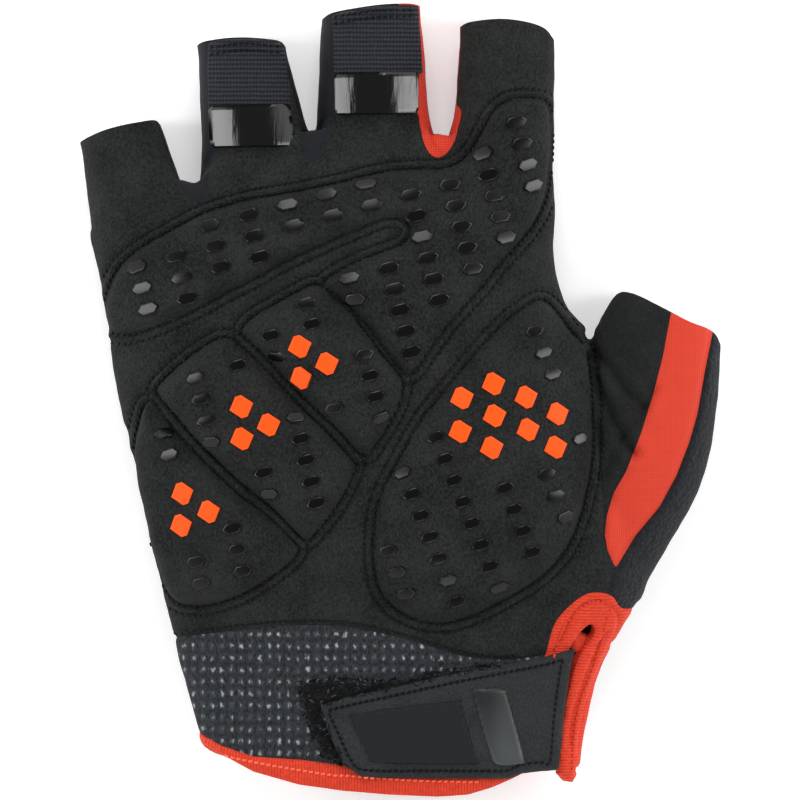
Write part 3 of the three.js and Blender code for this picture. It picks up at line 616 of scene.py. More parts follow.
def relief(co, no):
    """How far each point of the skin stands out for pads, or sinks in for seams and creases."""
    plan = co[:, :2]
    front = np.clip((co[:, 2] - SEAM) / 2.5, 0, 1)
    out = np.zeros(len(co))
    fields = {name: inside(plan, outline(name)) for name in PADS}
    for name, height in PADS.items():
        d = fields[name]
        edge = 3.4 if name != "pad_thumb" else 6
        swell = height * np.sin(np.clip(d / edge, 0, 1) * np.pi / 2) ** 0.9
        out += front * np.where(d > 0, swell, 0)
    gap = np.max(np.column_stack(list(fields.values())), axis=1)
    out -= front * 0.75 * bump_at(gap, 0.75)
    out -= front * 0.5 * bump_at(gap + 1.9, 0.55)
    out += front * 0.25 * bump_at(gap + 0.95, 0.5)
    seams = [
        (path_distance(plan, outline("cuff_line", False), False), 1.0),
        (path_distance(plan, outline("thumb_seam", False), False), front),
        (np.abs(inside(plan, outline("stripe"))), front),
        (path_distance(plan, outline("terry_edge", False), False), front),
    ]
    for distance, share in seams:
        out -= 0.4 * share * bump_at(distance, 0.7)
    for key in FOURCHETTES:
        out -= 0.35 * bump_at(np.abs(fourchette_field(co, key)), 0.6)
    for name, depth in (("crease_one", 1.3), ("crease_two", 1.5), ("crease_three", 0.8)):
        d = path_distance(plan, outline(name, False), False)
        out -= depth * front * bump_at(d, 1.0)
        out += 0.4 * depth * front * bump_at(d - 2.3, 1.3)
    for name, depth in (("wrinkle_heel", 0.35), ("wrinkle_web", 0.45), ("wrinkle_side", 0.35)):
        out -= depth * front * bump_at(path_distance(plan, outline(name, False), False), 1.3)
    out -= 0.8 * front * bump_at(path_distance(plan, outline("pleat", False), False), 0.5)
    for name in ("tape_seam", "leg_seam"):
        out -= 0.7 * front * bump_at(path_distance(plan, outline(name, False), False), 0.45)
    wave = np.sin(plan[:, 0] * 0.31 + 1.3 * np.sin(plan[:, 1] * 0.17)) * np.sin(plan[:, 1] * 0.27 + 0.8)
    fine = np.sin(plan[:, 0] * 0.9 + plan[:, 1] * 0.4) * np.sin(plan[:, 1] * 0.75 - plan[:, 0] * 0.3)
    out += 0.16 * wave + 0.05 * fine
    return out


def cut(data, tris, column):
    """The part of a skin where a column of its data is above zero, cut smoothly along zero."""
    value = data[:, column]
    value[np.abs(value) < 1e-4] = 1e-4
    keep = value > 0
    count = keep[tris].sum(axis=1)
    whole = tris[count == 3]
    parts, pairs = [], []
    for number in (1, 2):
        some = tris[count == number]
        odd = keep[some] if number == 1 else ~keep[some]
        turn = odd.argmax(axis=1)
        row = np.arange(len(some))
        a, b, c = some[row, turn], some[row, (turn + 1) % 3], some[row, (turn + 2) % 3]
        parts.append((number, a, b, c))
        pairs += [np.column_stack([a, b]), np.column_stack([a, c])]
    stacked = np.sort(np.vstack(pairs), axis=1)
    unique, back = np.unique(stacked, axis=0, return_inverse=True)
    back = back.ravel() + len(data)
    p, q = unique[:, 0], unique[:, 1]
    share = (value[p] / (value[p] - value[q]))[:, None]
    data = np.vstack([data, data[p] + (data[q] - data[p]) * share])
    n1, n2 = len(parts[0][1]), len(parts[1][1])
    ab1, ac1, ab2, ac2 = np.split(back, [n1, 2 * n1, 2 * n1 + n2])
    _, a1, _, _ = parts[0]
    _, _, b2, c2 = parts[1]
    fresh = [
        np.column_stack([a1, ab1, ac1]),
        np.column_stack([ab2, b2, c2]),
        np.column_stack([ab2, c2, ac2]),
    ]
    tris = np.vstack([whole, *fresh])
    used, renumbered = np.unique(tris, return_inverse=True)
    return data[used], renumbered.reshape(-1, 3)


def region(fields):
    """The part of the body's skin where all the fields are above zero."""
    co, no, tris = body_surface()
    data = np.hstack([co, no, np.column_stack(fields)])
    for column in range(6, data.shape[1]):
        data, tris = cut(data, tris, column)
    depth = data[:, 6:].min(axis=1)
    return data[:, :3], data[:, 3:6], tris, depth


def shell(co, no, tris, top, bottom):
    """A closed shell between two offsets of a skin."""
    pairs = np.vstack([tris[:, [0, 1]], tris[:, [1, 2]], tris[:, [2, 0]]])
    key = np.sort(pairs, axis=1)
    _, index, uses = np.unique(key, axis=0, return_index=True, return_counts=True)
    rim = pairs[index[uses == 1]]
    n = len(co)
    top, bottom = np.broadcast_to(top, n), np.broadcast_to(bottom, n)
    verts = np.vstack([co + no * top[:, None], co + no * bottom[:, None]])
    verts[:, 2] = np.maximum(verts[:, 2], 0.02)
    a, b = rim[:, 0], rim[:, 1]
    faces = [tris, tris[:, ::-1] + n]
    faces += [np.column_stack([b, a, a + n]), np.column_stack([b, a + n, b + n])]
    return verts, np.vstack(faces)


def put(name, verts, tris, material, nodes=(), sharp=38.0, along=None):
    """A named piece from millimetre arrays, riding on the body, in place of its CAD nodes."""
    mesh = bpy.data.meshes.new(name)
    mesh.vertices.add(len(verts))
    mesh.vertices.foreach_set("co", (verts / 1000).ravel())
    mesh.loops.add(tris.size)
    mesh.loops.foreach_set("vertex_index", tris.ravel().astype(np.int32))
    mesh.polygons.add(len(tris))
    mesh.polygons.foreach_set("loop_start", np.arange(0, tris.size, 3, dtype=np.int32))
    mesh.update(calc_edges=True)
    mesh.shade_smooth()
    mesh.set_sharp_from_angle(angle=math.radians(sharp))
    if along is not None:
        layer = mesh.attributes.new("along", "FLOAT", "POINT")
        layer.data.foreach_set("value", along.astype(np.float32))
    mesh.materials.append(finish_named(material))
    piece = bpy.data.objects.new(name, mesh)
    bpy.context.scene.collection.objects.link(piece)
    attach(piece, "root")
    if nodes:
        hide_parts(*nodes)
    return piece


def face_area(verts, faces):
    """Area of one face of a thin closed shell, in square millimetres."""
    a, b, c = verts[faces[:, 0]], verts[faces[:, 1]], verts[faces[:, 2]]
    return np.linalg.norm(np.cross(b - a, c - a), axis=1).sum() / 4


def cloth(name, fields, material, nodes, top=0.0, bottom=None, crown=0.0, crown_width=1.0, along=None):
    """A panel of the skin as a closed shell, with its edges rounded down over crown_width."""
    co, no, tris, depth = region(fields)
    bottom = -sizes().cloth_wall * 1000 if bottom is None else bottom
    share = 1 - np.clip(depth / crown_width, 0, 1)
    lift = top + crown * np.sqrt(np.maximum(1 - share**2, 0))
    verts, faces = shell(co, no, tris, lift, bottom)
    WORK.setdefault("tops", []).append((co + no * lift[:, None], tris))
    values = None
    if along is not None:
        values = np.tile(along(co), 2)
    piece = put(name, verts, faces, material, nodes, along=values)
    WORK.setdefault("areas", {})[name] = face_area(verts, faces)
    return piece


# No sheet's flat cut is reckoned with a side under this, in metres
LEAST_SIDE = 0.011


def declare_sheet(piece):
    """Works out the flat cut of a cloth panel from the shape that it is sewn to, and keeps nothing of it."""
    area = WORK["areas"][piece.name] / 1e6
    corners = np.array([v.co for v in piece.data.vertices])
    width, length = (corners.max(axis=0) - corners.min(axis=0))[:2]
    width, length = max(width, LEAST_SIDE), max(length, LEAST_SIDE)
    grow = math.sqrt(max(area / (width * length), 1.0)) * 1.01
    width, length = width * grow, length * grow
    area = max(area, 0.31 * width * length)


def tint(name):
    """One of the mitt's colours, linear."""
    return tuple(getattr(bpy.context.scene.mitt_colours, name))


def material_named(name, roughness, specular=0.15):
    """A new material with its tree and its surface shader."""
    material = bpy.data.materials.new(name)
    material.use_nodes = True
    tree = material.node_tree
    shader = tree.nodes["Principled BSDF"]
    shader.inputs["Roughness"].default_value = roughness
    shader.inputs["Specular IOR Level"].default_value = specular
    return material, tree, shader


def node(tree, kind, links=None, **settings):
    """A shader node with its settings and its inputs, by name or by number."""
    made = tree.nodes.new("ShaderNode" + kind)
    for key, value in settings.items():
        setattr(made, key, value)
    for key, value in (links or {}).items():
        if isinstance(value, bpy.types.NodeSocket):
            tree.links.new(value, made.inputs[key])
        else:
            made.inputs[key].default_value = value
    return made


def place(tree, scale):
    """Object coordinates times a scale."""
    coords = node(tree, "TexCoord").outputs["Object"]
    return node(tree, "VectorMath", {0: coords, 1: scale}, operation="MULTIPLY").outputs[0]


def ramp(tree, value, low, high, first, second):
    """A colour that runs from one named colour to another as value goes from low to high."""
    share = node(tree, "MapRange", {"Value": value, "From Min": low, "From Max": high}).outputs[0]
    mix = node(tree, "Mix", {0: share, 6: tint(first), 7: tint(second)}, data_type="RGBA")
    return mix.outputs[2]


def bump(tree, shader, height, strength, distance):
    """Gives a shader the fine relief of a height."""
    made = node(tree, "Bump", {"Height": height, "Strength": strength, "Distance": distance})
    tree.links.new(made.outputs[0], shader.inputs["Normal"])


def noise(tree, size, detail=3.0, rough=0.55, stretch=(1, 1, 1)):
    """Noise whose blotches are about size millimetres across."""
    scale = tuple(1000 / size * s for s in stretch)
    made = node(
        tree, "TexNoise", {"Vector": place(tree, scale), "Scale": 1.0, "Detail": detail, "Roughness": rough}
    )
    return made.outputs["Fac"]


def cells(tree, size):
    """Distance to the nearest of scattered points about size millimetres apart."""
    made = node(tree, "TexVoronoi", {"Vector": place(tree, (1000 / size,) * 3), "Scale": 1.0})
    return made.outputs["Distance"]


def bands(tree, coords, direction, scale, distortion=0.0, detail=2.0):
    """Soft stripes that follow each other along X or Y."""
    links = {"Vector": coords, "Scale": scale, "Distortion": distortion, "Detail": detail}
    return node(tree, "TexWave", links, bands_direction=direction).outputs["Fac"]


def total(tree, first, second, operation="ADD"):
    """Two values added, or joined by another operation."""
    return node(tree, "Math", {0: first, 1: second}, operation=operation).outputs[0]


def suede(name, dark, light, grain=0.5):
    """Napped leather, its grain in millimetres."""
    material, tree, shader = material_named(name, 0.85, 0.1)
    nap = noise(tree, grain, 3.0, 0.65, (1.0, 0.75, 1.0))
    blotch = noise(tree, 9.0, 4.0)
    fine = cells(tree, grain * 0.8)
    both = total(tree, nap, total(tree, blotch, 0.5, "MULTIPLY"))
    tree.links.new(ramp(tree, both, 0.55, 0.95, dark, light), shader.inputs["Base Color"])
    shader.inputs["Sheen Weight"].default_value = 0.02
    bump(tree, shader, total(tree, nap, total(tree, fine, 0.35, "MULTIPLY")), 1.0, 0.00045)
    return material


def leather():
    # Charcoal synthetic suede: matt, faint short grain, slightly lighter where it stands out
    return suede("synthetic suede, matt charcoal", "leather_dark", "leather_light")


def thumb_leather():
    # Thumb suede: smoother and a little warmer than the palm
    return suede("synthetic suede, smooth black", "thumb_dark", "thumb_light", 0.45)


def strap_leather():
    # Strap: smooth charcoal microfibre with a soft sheen
    material = suede("microfibre strap, smooth charcoal", "strap_dark", "strap_light", 0.45)
    material.node_tree.nodes["Principled BSDF"].inputs["Roughness"].default_value = 0.66
    return material


def knitted(name, dark, light, size, roughness=0.75):
    """Fine knit or weave, its stitches size millimetres apart."""
    material, tree, shader = material_named(name, roughness)
    coords = place(tree, (1000 / size, 1000 / size, 1000 / size))
    ribs = bands(tree, coords, "X", 0.31, 1.2, 1.0)
    rows = bands(tree, coords, "Y", 0.31, 1.2, 1.0)
    weave = total(tree, ribs, rows, "MULTIPLY")
    tree.links.new(ramp(tree, weave, 0.1, 0.9, dark, light), shader.inputs["Base Color"])
    shader.inputs["Sheen Weight"].default_value = 0.03
    bump(tree, shader, weave, 0.5, size * 0.0002)
    return material


def lycra():
    # Two-way stretch back: fine dark navy jersey
    return knitted("stretch jersey, dark navy", "back_dark", "back_light", 0.5, 0.7)


def red_lycra():
    # Gusset: red-orange stretch jersey
    return knitted("stretch jersey, red orange", "gusset_dark", "gusset_light", 0.5, 0.7)


def red_twill():
    # Thumb stripe: finely woven red-orange cloth
    return knitted("woven stripe, red orange", "stripe_dark", "stripe_light", 0.45, 0.7)


def terry_cloth():
    # Terry wipe panel: short loops, fuzzy, blue-black
    material, tree, shader = material_named("terry cloth, blue black", 0.95)
    loops = cells(tree, 0.9)
    fuzz = noise(tree, 0.3, 3.0, 0.8)
    colour = ramp(tree, total(tree, loops, fuzz), 0.4, 1.5, "terry_light", "terry_dark")
    tree.links.new(colour, shader.inputs["Base Color"])
    shader.inputs["Sheen Weight"].default_value = 0.08
    height = total(tree, fuzz, loops, "SUBTRACT")
    bump(tree, shader, height, 1.0, 0.0006)
    return material


def heather():
    # Cuff: waffle knit in dark grey green, short pale flecks in rows with dark hollows between
    material, tree, shader = material_named("heather waffle knit, grey", 0.9)
    coords = place(tree, (1000 / 2.0, 1000 / 2.5, 1000 / 2.0))
    wobble = node(tree, "TexNoise", {"Vector": coords, "Scale": 0.9, "Detail": 1.0}).outputs["Color"]
    shift = node(tree, "VectorMath", {0: wobble, 1: (0.35, 0.35, 0)}, operation="MULTIPLY").outputs[0]
    coords = node(tree, "VectorMath", {0: coords, 1: shift}, operation="ADD").outputs[0]
    waffle = total(tree, bands(tree, coords, "X", 0.314), bands(tree, coords, "Y", 0.314), "MULTIPLY")
    fibre = noise(tree, 0.45, 3.0, 0.7, (1.0, 0.5, 1.0))
    blotch = noise(tree, 3.0, 2.0)
    shade = total(tree, fibre, total(tree, waffle, 0.3, "MULTIPLY"))
    ground = ramp(tree, shade, 0.35, 0.85, "knit_dark", "knit_light")
    streak = noise(tree, 0.9, 2.0, 0.6, (1.6, 0.7, 1.0))
    uneven = total(tree, streak, total(tree, fibre, blotch))
    raised = total(tree, total(tree, waffle, 0.55, "MULTIPLY"), uneven)
    share = node(tree, "MapRange", {"Value": raised, "From Min": 1.93, "From Max": 2.3}).outputs[0]
    mix = node(tree, "Mix", {0: share, 6: ground, 7: tint("knit_fleck")}, data_type="RGBA").outputs[2]
    tree.links.new(mix, shader.inputs["Base Color"])
    bump(tree, shader, total(tree, waffle, total(tree, fibre, 0.5, "MULTIPLY")), 0.8, 0.0005)
    return material


def tape():
    # Grosgrain tape: red orange with fine ribs across
    material, tree, shader = material_named("grosgrain tape, red orange", 0.72)
    along = node(tree, "Attribute", attribute_name="along").outputs["Fac"]
    phase = total(tree, along, 2 * math.pi / 0.62, "MULTIPLY")
    ribs = node(tree, "Math", {0: phase}, operation="SINE").outputs[0]
    grain = noise(tree, 0.8, 3.0)
    shade = total(tree, total(tree, ribs, 0.25, "MULTIPLY"), grain)
    colour = ramp(tree, shade, 0.2, 0.9, "tape_dark", "tape_light")
    tree.links.new(colour, shader.inputs["Base Color"])
    shader.inputs["Sheen Weight"].default_value = 0.04
    bump(tree, shader, total(tree, ribs, grain), 0.5, 0.00012)
    return material


def loops():
    # Loop patch: fuzzy black pile with pale specks
    material, tree, shader = material_named("loop pile, black", 0.95)
    fuzz = noise(tree, 0.5, 5.0, 0.8)
    tree.links.new(ramp(tree, fuzz, 0.55, 0.75, "pile_dark", "pile_light"), shader.inputs["Base Color"])
    shader.inputs["Sheen Weight"].default_value = 0.1
    bump(tree, shader, fuzz, 1.0, 0.0008)
    return material


def hair_dark():
    # Pile loops standing up: black, matt
    material, tree, shader = material_named("pile loops, black", 0.8)
    shader.inputs["Base Color"].default_value = tint("hair_dark")
    return material


def hair_painted_highlight():
    # Pile loops with a painted highlight: grey copies standing in for loops that catch the light
    material, tree, shader = material_named("pile loops, painted highlight grey", 0.6, 0.4)
    shader.inputs["Base Color"].default_value = tint("hair_painted_highlight")
    return material


def webbing():
    # Pull tab webbing: slate grey, fine broken ribs across the finger
    material, tree, shader = material_named("ribbed webbing, slate grey", 0.75)
    coords = place(tree, (1000, 1000, 1000))
    ribs = bands(tree, coords, "Y", 0.33, 0.8)
    loops_across = bands(tree, coords, "X", 0.45, 4.0)
    weave = total(tree, ribs, total(tree, loops_across, noise(tree, 0.5, 3.0), "MULTIPLY"))
    tree.links.new(ramp(tree, weave, 0.2, 1.5, "webbing_dark", "webbing_light"), shader.inputs["Base Color"])
    bump(tree, shader, weave, 0.9, 0.0003)
    return material


def gloss():
    # Grip band: glossy black rubber
    material, tree, shader = material_named("thermoplastic rubber, glossy black", 0.14, 0.6)
    shader.inputs["Base Color"].default_value = tint("grip")
    bump(tree, shader, noise(tree, 0.9, 2.0, 0.5, (1.0, 0.12, 1.0)), 0.35, 0.0002)
    return material


def silicone():
    # Grip dots: dark silicone, glossy enough for a bright rim
    material, tree, shader = material_named("silicone, glossy black", 0.2, 0.35)
    shader.inputs["Base Color"].default_value = tint("dots")
    return material


def print_orange():
    # Orange silicone print: bright and flat
    material, tree, shader = material_named("silicone print, bright orange", 0.45)
    shader.inputs["Base Color"].default_value = tint("print")
    return material


def badge_cover():
    # Badge inlay: dark satin film in the strap
    material, tree, shader = material_named("film inlay, dark satin", 0.6, 0.15)
    shader.inputs["Base Color"].default_value = tint("badge")
    bump(tree, shader, noise(tree, 0.6, 3.0), 0.5, 0.0002)
    return material


def flash_cover():
    # Flash inlay: satin film, lighter towards its lower end by a painted highlight
    material, tree, shader = material_named("reflective film, grey satin", 0.4, 0.4)
    height = node(tree, "SeparateXYZ", {0: place(tree, (1000, 1000, 1000))}).outputs["Y"]
    tree.links.new(ramp(tree, height, -63, -76, "flash_dark", "flash_light"), shader.inputs["Base Color"])
    return material


def thread_dark():
    # Seam thread: navy black, slightly shiny
    material, tree, shader = material_named("polyester thread, navy black", 0.5)
    shader.inputs["Base Color"].default_value = tint("thread_dark")
    return material


def thread_light():
    # Hem thread: pale orange, slightly shiny
    material, tree, shader = material_named("polyester thread, pale orange", 0.5)
    shader.inputs["Base Color"].default_value = tint("thread_light")
    return material


def thread_red():
    # Slit tape thread: the tape's own red, slightly darker
    material, tree, shader = material_named("polyester thread, red", 0.5)
    shader.inputs["Base Color"].default_value = tint("thread_red")
    return material


FINISHES = (
    leather, thumb_leather, strap_leather, lycra, red_lycra, red_twill, terry_cloth, heather, tape, loops,
    webbing, gloss, silicone, print_orange, badge_cover, flash_cover, hair_dark, hair_painted_highlight, thread_dark,
    thread_light, thread_red,
)
MAKERS = {make.__name__: make for make in FINISHES}
MATERIALS = {}


def finish_named(name):
    """A finish by its function's name, made when it is first asked for."""
    if name not in MATERIALS:
        MATERIALS[name] = MAKERS[name]()
    return MATERIALS[name]


# Plan areas, in millimetres, carried far past the mitt on their outer sides
FAR = 120
CUFF_AREA = OUTLINES["cuff_line"] + [(FAR, -50.3), (FAR, -FAR), (-FAR, -FAR), (-FAR, -50.7)]
THUMB_AREA = OUTLINES["thumb_seam"] + [
    (43.6, -31.6), (45.3, -35.4), (43.9, -40.2), (52, -62), (FAR, -50), (FAR, 60), (38, 60),
]
TERRY_AREA = OUTLINES["terry_edge"] + [(52, -62), (FAR, -50), (FAR, 60), (67, 60)]
# How far the terry panel and the slit's tape reach below the side seam
TERRY_DROP = 3.4
TAPE_DROP = 1.5


def fields():
    """Distances, in millimetres, that divide the skin into its panels."""
    if "fields" in WORK:
        return WORK["fields"]
    co = body_surface()[0]
    plan = co[:, :2]
    rise = co[:, 2] - SEAM
    found = {
        "rise": rise,
        "cuff": inside(plan, np.array(CUFF_AREA)),
        "thumb": inside(plan, np.array(THUMB_AREA)),
        "terry": np.minimum(inside(plan, np.array(TERRY_AREA)), rise + TERRY_DROP),
        "stripe": np.minimum(inside(plan, outline("stripe", True, False)), rise),
        "tape": np.minimum(inside(plan, outline("slit_tape")), rise + TAPE_DROP),
        "slit": np.minimum(inside(plan, outline("slit")), rise + TAPE_DROP),
        "hem": hem_field(co),
        "tips": tip_field(co),
        "pads": np.max(np.column_stack([inside(plan, outline(name)) for name in PADS]), axis=1),
    }
    for name in PADS:
        found[name] = inside(plan, outline(name))
    for key in FOURCHETTES:
        found[key] = fourchette_field(co, key)
    found["side strips"] = np.maximum.reduce([found[key] for key in FOURCHETTES])
    wide = np.clip((co[:, 0] + 46) / 25, 0.35, 1)
    wide = 1 + (wide - 1) * np.clip(1 + rise / 6, 0, 1)
    found["hem tape"] = wide * sizes().tape_width * 1000 - found["hem"]
    WORK["fields"] = found
    return found


def top_tree():
    """The outer faces of all cloth made so far, for things that lie on them."""
    if WORK.get("tree count") != len(WORK["tops"]):
        verts = np.vstack([co for co, _ in WORK["tops"]])
        offsets = np.cumsum([0] + [len(co) for co, _ in WORK["tops"]])
        tris = np.vstack([t + o for (_, t), o in zip(WORK["tops"], offsets)])
        WORK["tree"] = BVHTree.FromPolygons(verts.tolist(), tris.tolist())
        WORK["tree count"] = len(WORK["tops"])
    return WORK["tree"]


def landed(x, y):
    """Where a plumb line meets the cloth from above, and the cloth's normal there."""
    spot, normal, _, _ = top_tree().ray_cast(Vector((x, y, 90.0)), Vector((0, 0, -1)))
    return spot, normal


def scattered(name, template, spots, material):
    """Copies of a small solid laid on the cloth: spots are x, y, direction and scale."""
    points, tris = template
    all_verts, all_tris = [], []
    for x, y, angle, scale in spots:
        spot, normal = landed(x, y)
        if spot is None or normal.z < 0.35:
            continue
        ahead = Vector((math.cos(angle), math.sin(angle), 0))
        ahead = (ahead - normal * ahead.dot(normal)).normalized()
        side = normal.cross(ahead)
        frame_of = np.array([ahead, side, normal])
        all_tris.append(tris + len(all_verts) * len(points))
        all_verts.append(points * scale @ frame_of + np.array(spot))
    return put(name, np.vstack(all_verts), np.vstack(all_tris), material, sharp=50)


def capsule(length, radius, sides=6):
    """A stitch: a short rounded bar, its two ends sunk in the cloth."""
    rings = []
    for at, size, up in ((-0.5, 0.45, -0.5), (-0.32, 1, 0.35), (0.32, 1, 0.35), (0.5, 0.45, -0.5)):
        turn = 2 * np.pi * np.arange(sides) / sides
        rings.append(
            np.column_stack(
                [
                    np.full(sides, at * length),
                    np.cos(turn) * radius * size,
                    np.sin(turn) * radius * size + up * radius,
                ]
            )
        )
    tris = []
    for r in range(3):
        for i in range(sides):
            j = (i + 1) % sides
            a, b, c, d = r * sides + i, r * sides + j, (r + 1) * sides + j, (r + 1) * sides + i
            tris += [(a, b, c), (a, c, d)]
    tris += [(0, i + 1, i) for i in range(1, sides - 1)]
    tris += [(3 * sides, 3 * sides + i, 3 * sides + i + 1) for i in range(1, sides - 1)]
    return np.vstack(rings), np.array(tris)


def hexagon(length, width, rise, sink=0.35):
    """A long domed hexagon."""
    point = length / 2
    flat = length / 2 - width * 0.42
    half = width / 2
    base = np.array([(point, 0), (flat, half), (-flat, half), (-point, 0), (-flat, -half), (flat, -half)])
    rings = []
    for size, height in ((1, -sink), (1, rise * 0.7), (0.93, rise * 0.95), (0.75, rise)):
        shrunk = base * np.array([1 - (1 - size) * half / point, size])
        rings.append(np.column_stack([shrunk, np.full(6, height)]))
    rings.append(np.array([[0, 0, rise * 1.02]]))
    tris = []
    for r in range(3):
        for i in range(6):
            j = (i + 1) % 6
            a, b, c, d = r * 6 + i, r * 6 + j, (r + 1) * 6 + j, (r + 1) * 6 + i
            tris += [(a, b, c), (a, c, d)]
    tris += [(18 + i, 18 + (i + 1) % 6, 24) for i in range(6)]
    tris += [(0, i + 1, i) for i in range(1, 5)]
    return np.vstack(rings), np.array(tris)


def along_path(path, pitch, closed, shift=0.0, wanted=None):
    """Spots and directions for stitches along a plan path, shifted outwards from it."""
    path = smooth_path(path, closed, pitch)
    ahead = np.roll(path, -1, axis=0) - np.roll(path, 1, axis=0)
    if not closed:
        ahead[0], ahead[-1] = path[1] - path[0], path[-1] - path[-2]
    ahead = ahead / np.maximum(np.linalg.norm(ahead, axis=1), 1e-9)[:, None]
    side = np.column_stack([ahead[:, 1], -ahead[:, 0]])
    if closed:
        x, y = path.T
        turning = np.sum(x * np.roll(y, -1) - np.roll(x, -1) * y)
        side = side if turning > 0 else -side
    moved = path + side * shift
    if closed and shift:
        moved = smooth_path(moved[np.abs(inside(moved, path)) > abs(shift) * 0.93], True, pitch)
        ahead = np.roll(moved, -1, axis=0) - np.roll(moved, 1, axis=0)
    keep = np.ones(len(moved), bool) if wanted is None else wanted(moved)
    angle = np.arctan2(ahead[:, 1], ahead[:, 0]) + 0.22
    return [(x, y, a, 1.0) for (x, y), a, k in zip(moved, angle, keep) if k]


def away_from_pads(name, clearance):
    """A test for stitch spots that lie clear of the other pads."""
    others = [outline(other) for other in PADS if other != name]
    return lambda spots: np.max([inside(spots, path) for path in others], axis=0) < -clearance


def inside_tips(path):
    """A plan path held back from the fingers' cut ends."""
    ends = np.roll(path, -1, axis=0)
    path = np.vstack([np.linspace(p, q, 12, endpoint=False) for p, q in zip(path, ends)])
    for _ in range(8):
        over = np.minimum(tip_field(path) - 0.35, 0)
        path = path + np.column_stack([np.zeros(len(path)), over])
    return path


def finger_top(name, x, y):
    """Height of a finger's rounded upper side."""
    root, tip, root_width, tip_width = FINGERS[name]
    root, tip = np.array(root), np.array(tip)
    length = np.linalg.norm(tip - root)
    along = (tip - root) / length
    at = ((x - root[0]) * along[0] + (y - root[1]) * along[1]) / length
    reach = (root_width + (tip_width - root_width) * at) / 2
    side = np.clip(np.abs((x - root[0]) * along[1] - (y - root[1]) * along[0]) / reach, 0, 0.985)
    return SEAM + FINGER_HALF * 1.03 * (1 - side**2.15) ** (1 / 2.15)


def laid(
    name, path, material, nodes, top, bottom, crown, crown_width, held="laid", stiff=12, finger=None
):
    """A piece of its own lying on the cloth, cut along a plan path from a smooth stiff sheet."""
    step = 0.45
    low, high = path.min(axis=0) - 2 * step, path.max(axis=0) + 2 * step
    columns = np.arange(low[0], high[0] + step, step)
    rows = np.arange(low[1], high[1] + step, step)
    height = np.full((len(rows), len(columns)), np.nan)
    for r, y in enumerate(rows):
        for c, x in enumerate(columns):
            spot, _ = landed(x, y)
            if spot is not None and spot.z > SEAM - 6:
                height[r, c] = spot.z
    for r in range(len(rows)):
        known = np.flatnonzero(~np.isnan(height[r]))
        if len(known):
            height[r] = np.interp(np.arange(len(columns)), known, height[r, known])
    for c in range(len(columns)):
        known = np.flatnonzero(~np.isnan(height[:, c]))
        height[:, c] = np.interp(np.arange(len(rows)), known, height[known, c])
    for _ in range(stiff):
        edge = np.pad(height, 1, mode="edge")
        height = (edge[:-2, 1:-1] + edge[2:, 1:-1] + edge[1:-1, :-2] + edge[1:-1, 2:] + 4 * height) / 8
    x, y = np.meshgrid(columns, rows)
    if finger:
        height = finger_top(finger, x, y)
    co = np.column_stack([x.ravel(), y.ravel(), height.ravel()])
    wide = len(columns)
    first = (np.arange(len(rows) - 1)[:, None] * wide + np.arange(wide - 1)).ravel()
    tris = np.vstack(
        [
            np.column_stack([first, first + 1, first + wide + 1]),
            np.column_stack([first, first + wide + 1, first + wide]),
        ]
    )
    no = normals_of(co, tris)
    data, tris = cut(np.hstack([co, no, inside(co[:, :2], path)[:, None]]), tris, 6)
    co, no, depth = data[:, :3], data[:, 3:6], data[:, 6]
    share = 1 - np.clip(depth / crown_width, 0, 1)
    lift = top + crown * np.sqrt(np.maximum(1 - share**2, 0))
    verts, faces = shell(co, no, tris, lift, bottom)
    WORK.setdefault("tops", []).append((co + no * lift[:, None], tris))
    piece = put(name, verts, faces, material, nodes)
    WORK.setdefault("areas", {})[name] = face_area(verts, faces)
    if held:
        declare_sheet(piece)
    return piece


class MittSizes(bpy.types.PropertyGroup):
    """Sizes of the mitt's cloth, pads and thread."""

    skin_step: bpy.props.FloatProperty(
        name="Skin step", description="Length of the skin's facets", default=0.0008, min=0.0004,
        unit="LENGTH",
    )
    cloth_wall: bpy.props.FloatProperty(
        name="Cloth wall", description="Thickness of leather and cloth", default=0.0014, min=0.0005,
        unit="LENGTH",
    )
    tape_width: bpy.props.FloatProperty(
        name="Tape width", description="Width of the hem tape", default=0.0053, min=0.001, unit="LENGTH"
    )
    stitch_pitch: bpy.props.FloatProperty(
        name="Stitch pitch", description="Distance from one stitch to the next", default=0.0013,
        min=0.0005, unit="LENGTH",
    )
    thread_radius: bpy.props.FloatProperty(
        name="Thread radius", description="Half the thickness of the thread", default=0.00026,
        min=0.0001, unit="LENGTH",
    )
    dot_rise: bpy.props.FloatProperty(
        name="Dot rise", description="How far the grip dots stand out", default=0.00038, min=0.0001,
        unit="LENGTH",
    )


def colour_property(label, colour):
    """A colour that the sidebar shows, from its label and its hex value."""
    return bpy.props.FloatVectorProperty(
        name=label, description="Colour of: " + label.lower(), subtype="COLOR", size=4, min=0, max=1,
        default=hexed(colour),
    )


class MittColours(bpy.types.PropertyGroup):
    """Colours of the mitt's cloth, rubber, print and thread."""

    __annotations__ = {key: colour_property(*row) for key, row in COLOURS.items()}


def sizes():
    """The sizes set in the sidebar."""
    return bpy.context.scene.mitt_sizes


class MITT_OT_palm(bpy.types.Operator):
    """Suede palm panel with its openings for the pads"""

    bl_idname = "mitt.palm"
    bl_label = "Palm panel"

    def execute(self, context):
        f = fields()
        cuts = [f["rise"], -f["cuff"], -f["tape"], -f["thumb"], -f["side strips"], f["tips"], -f["pads"]]
        piece = cloth("palm", cuts, "leather", ["palm_panel"], crown=0.1, crown_width=0.6)
        declare_sheet(piece)
        return {"FINISHED"}


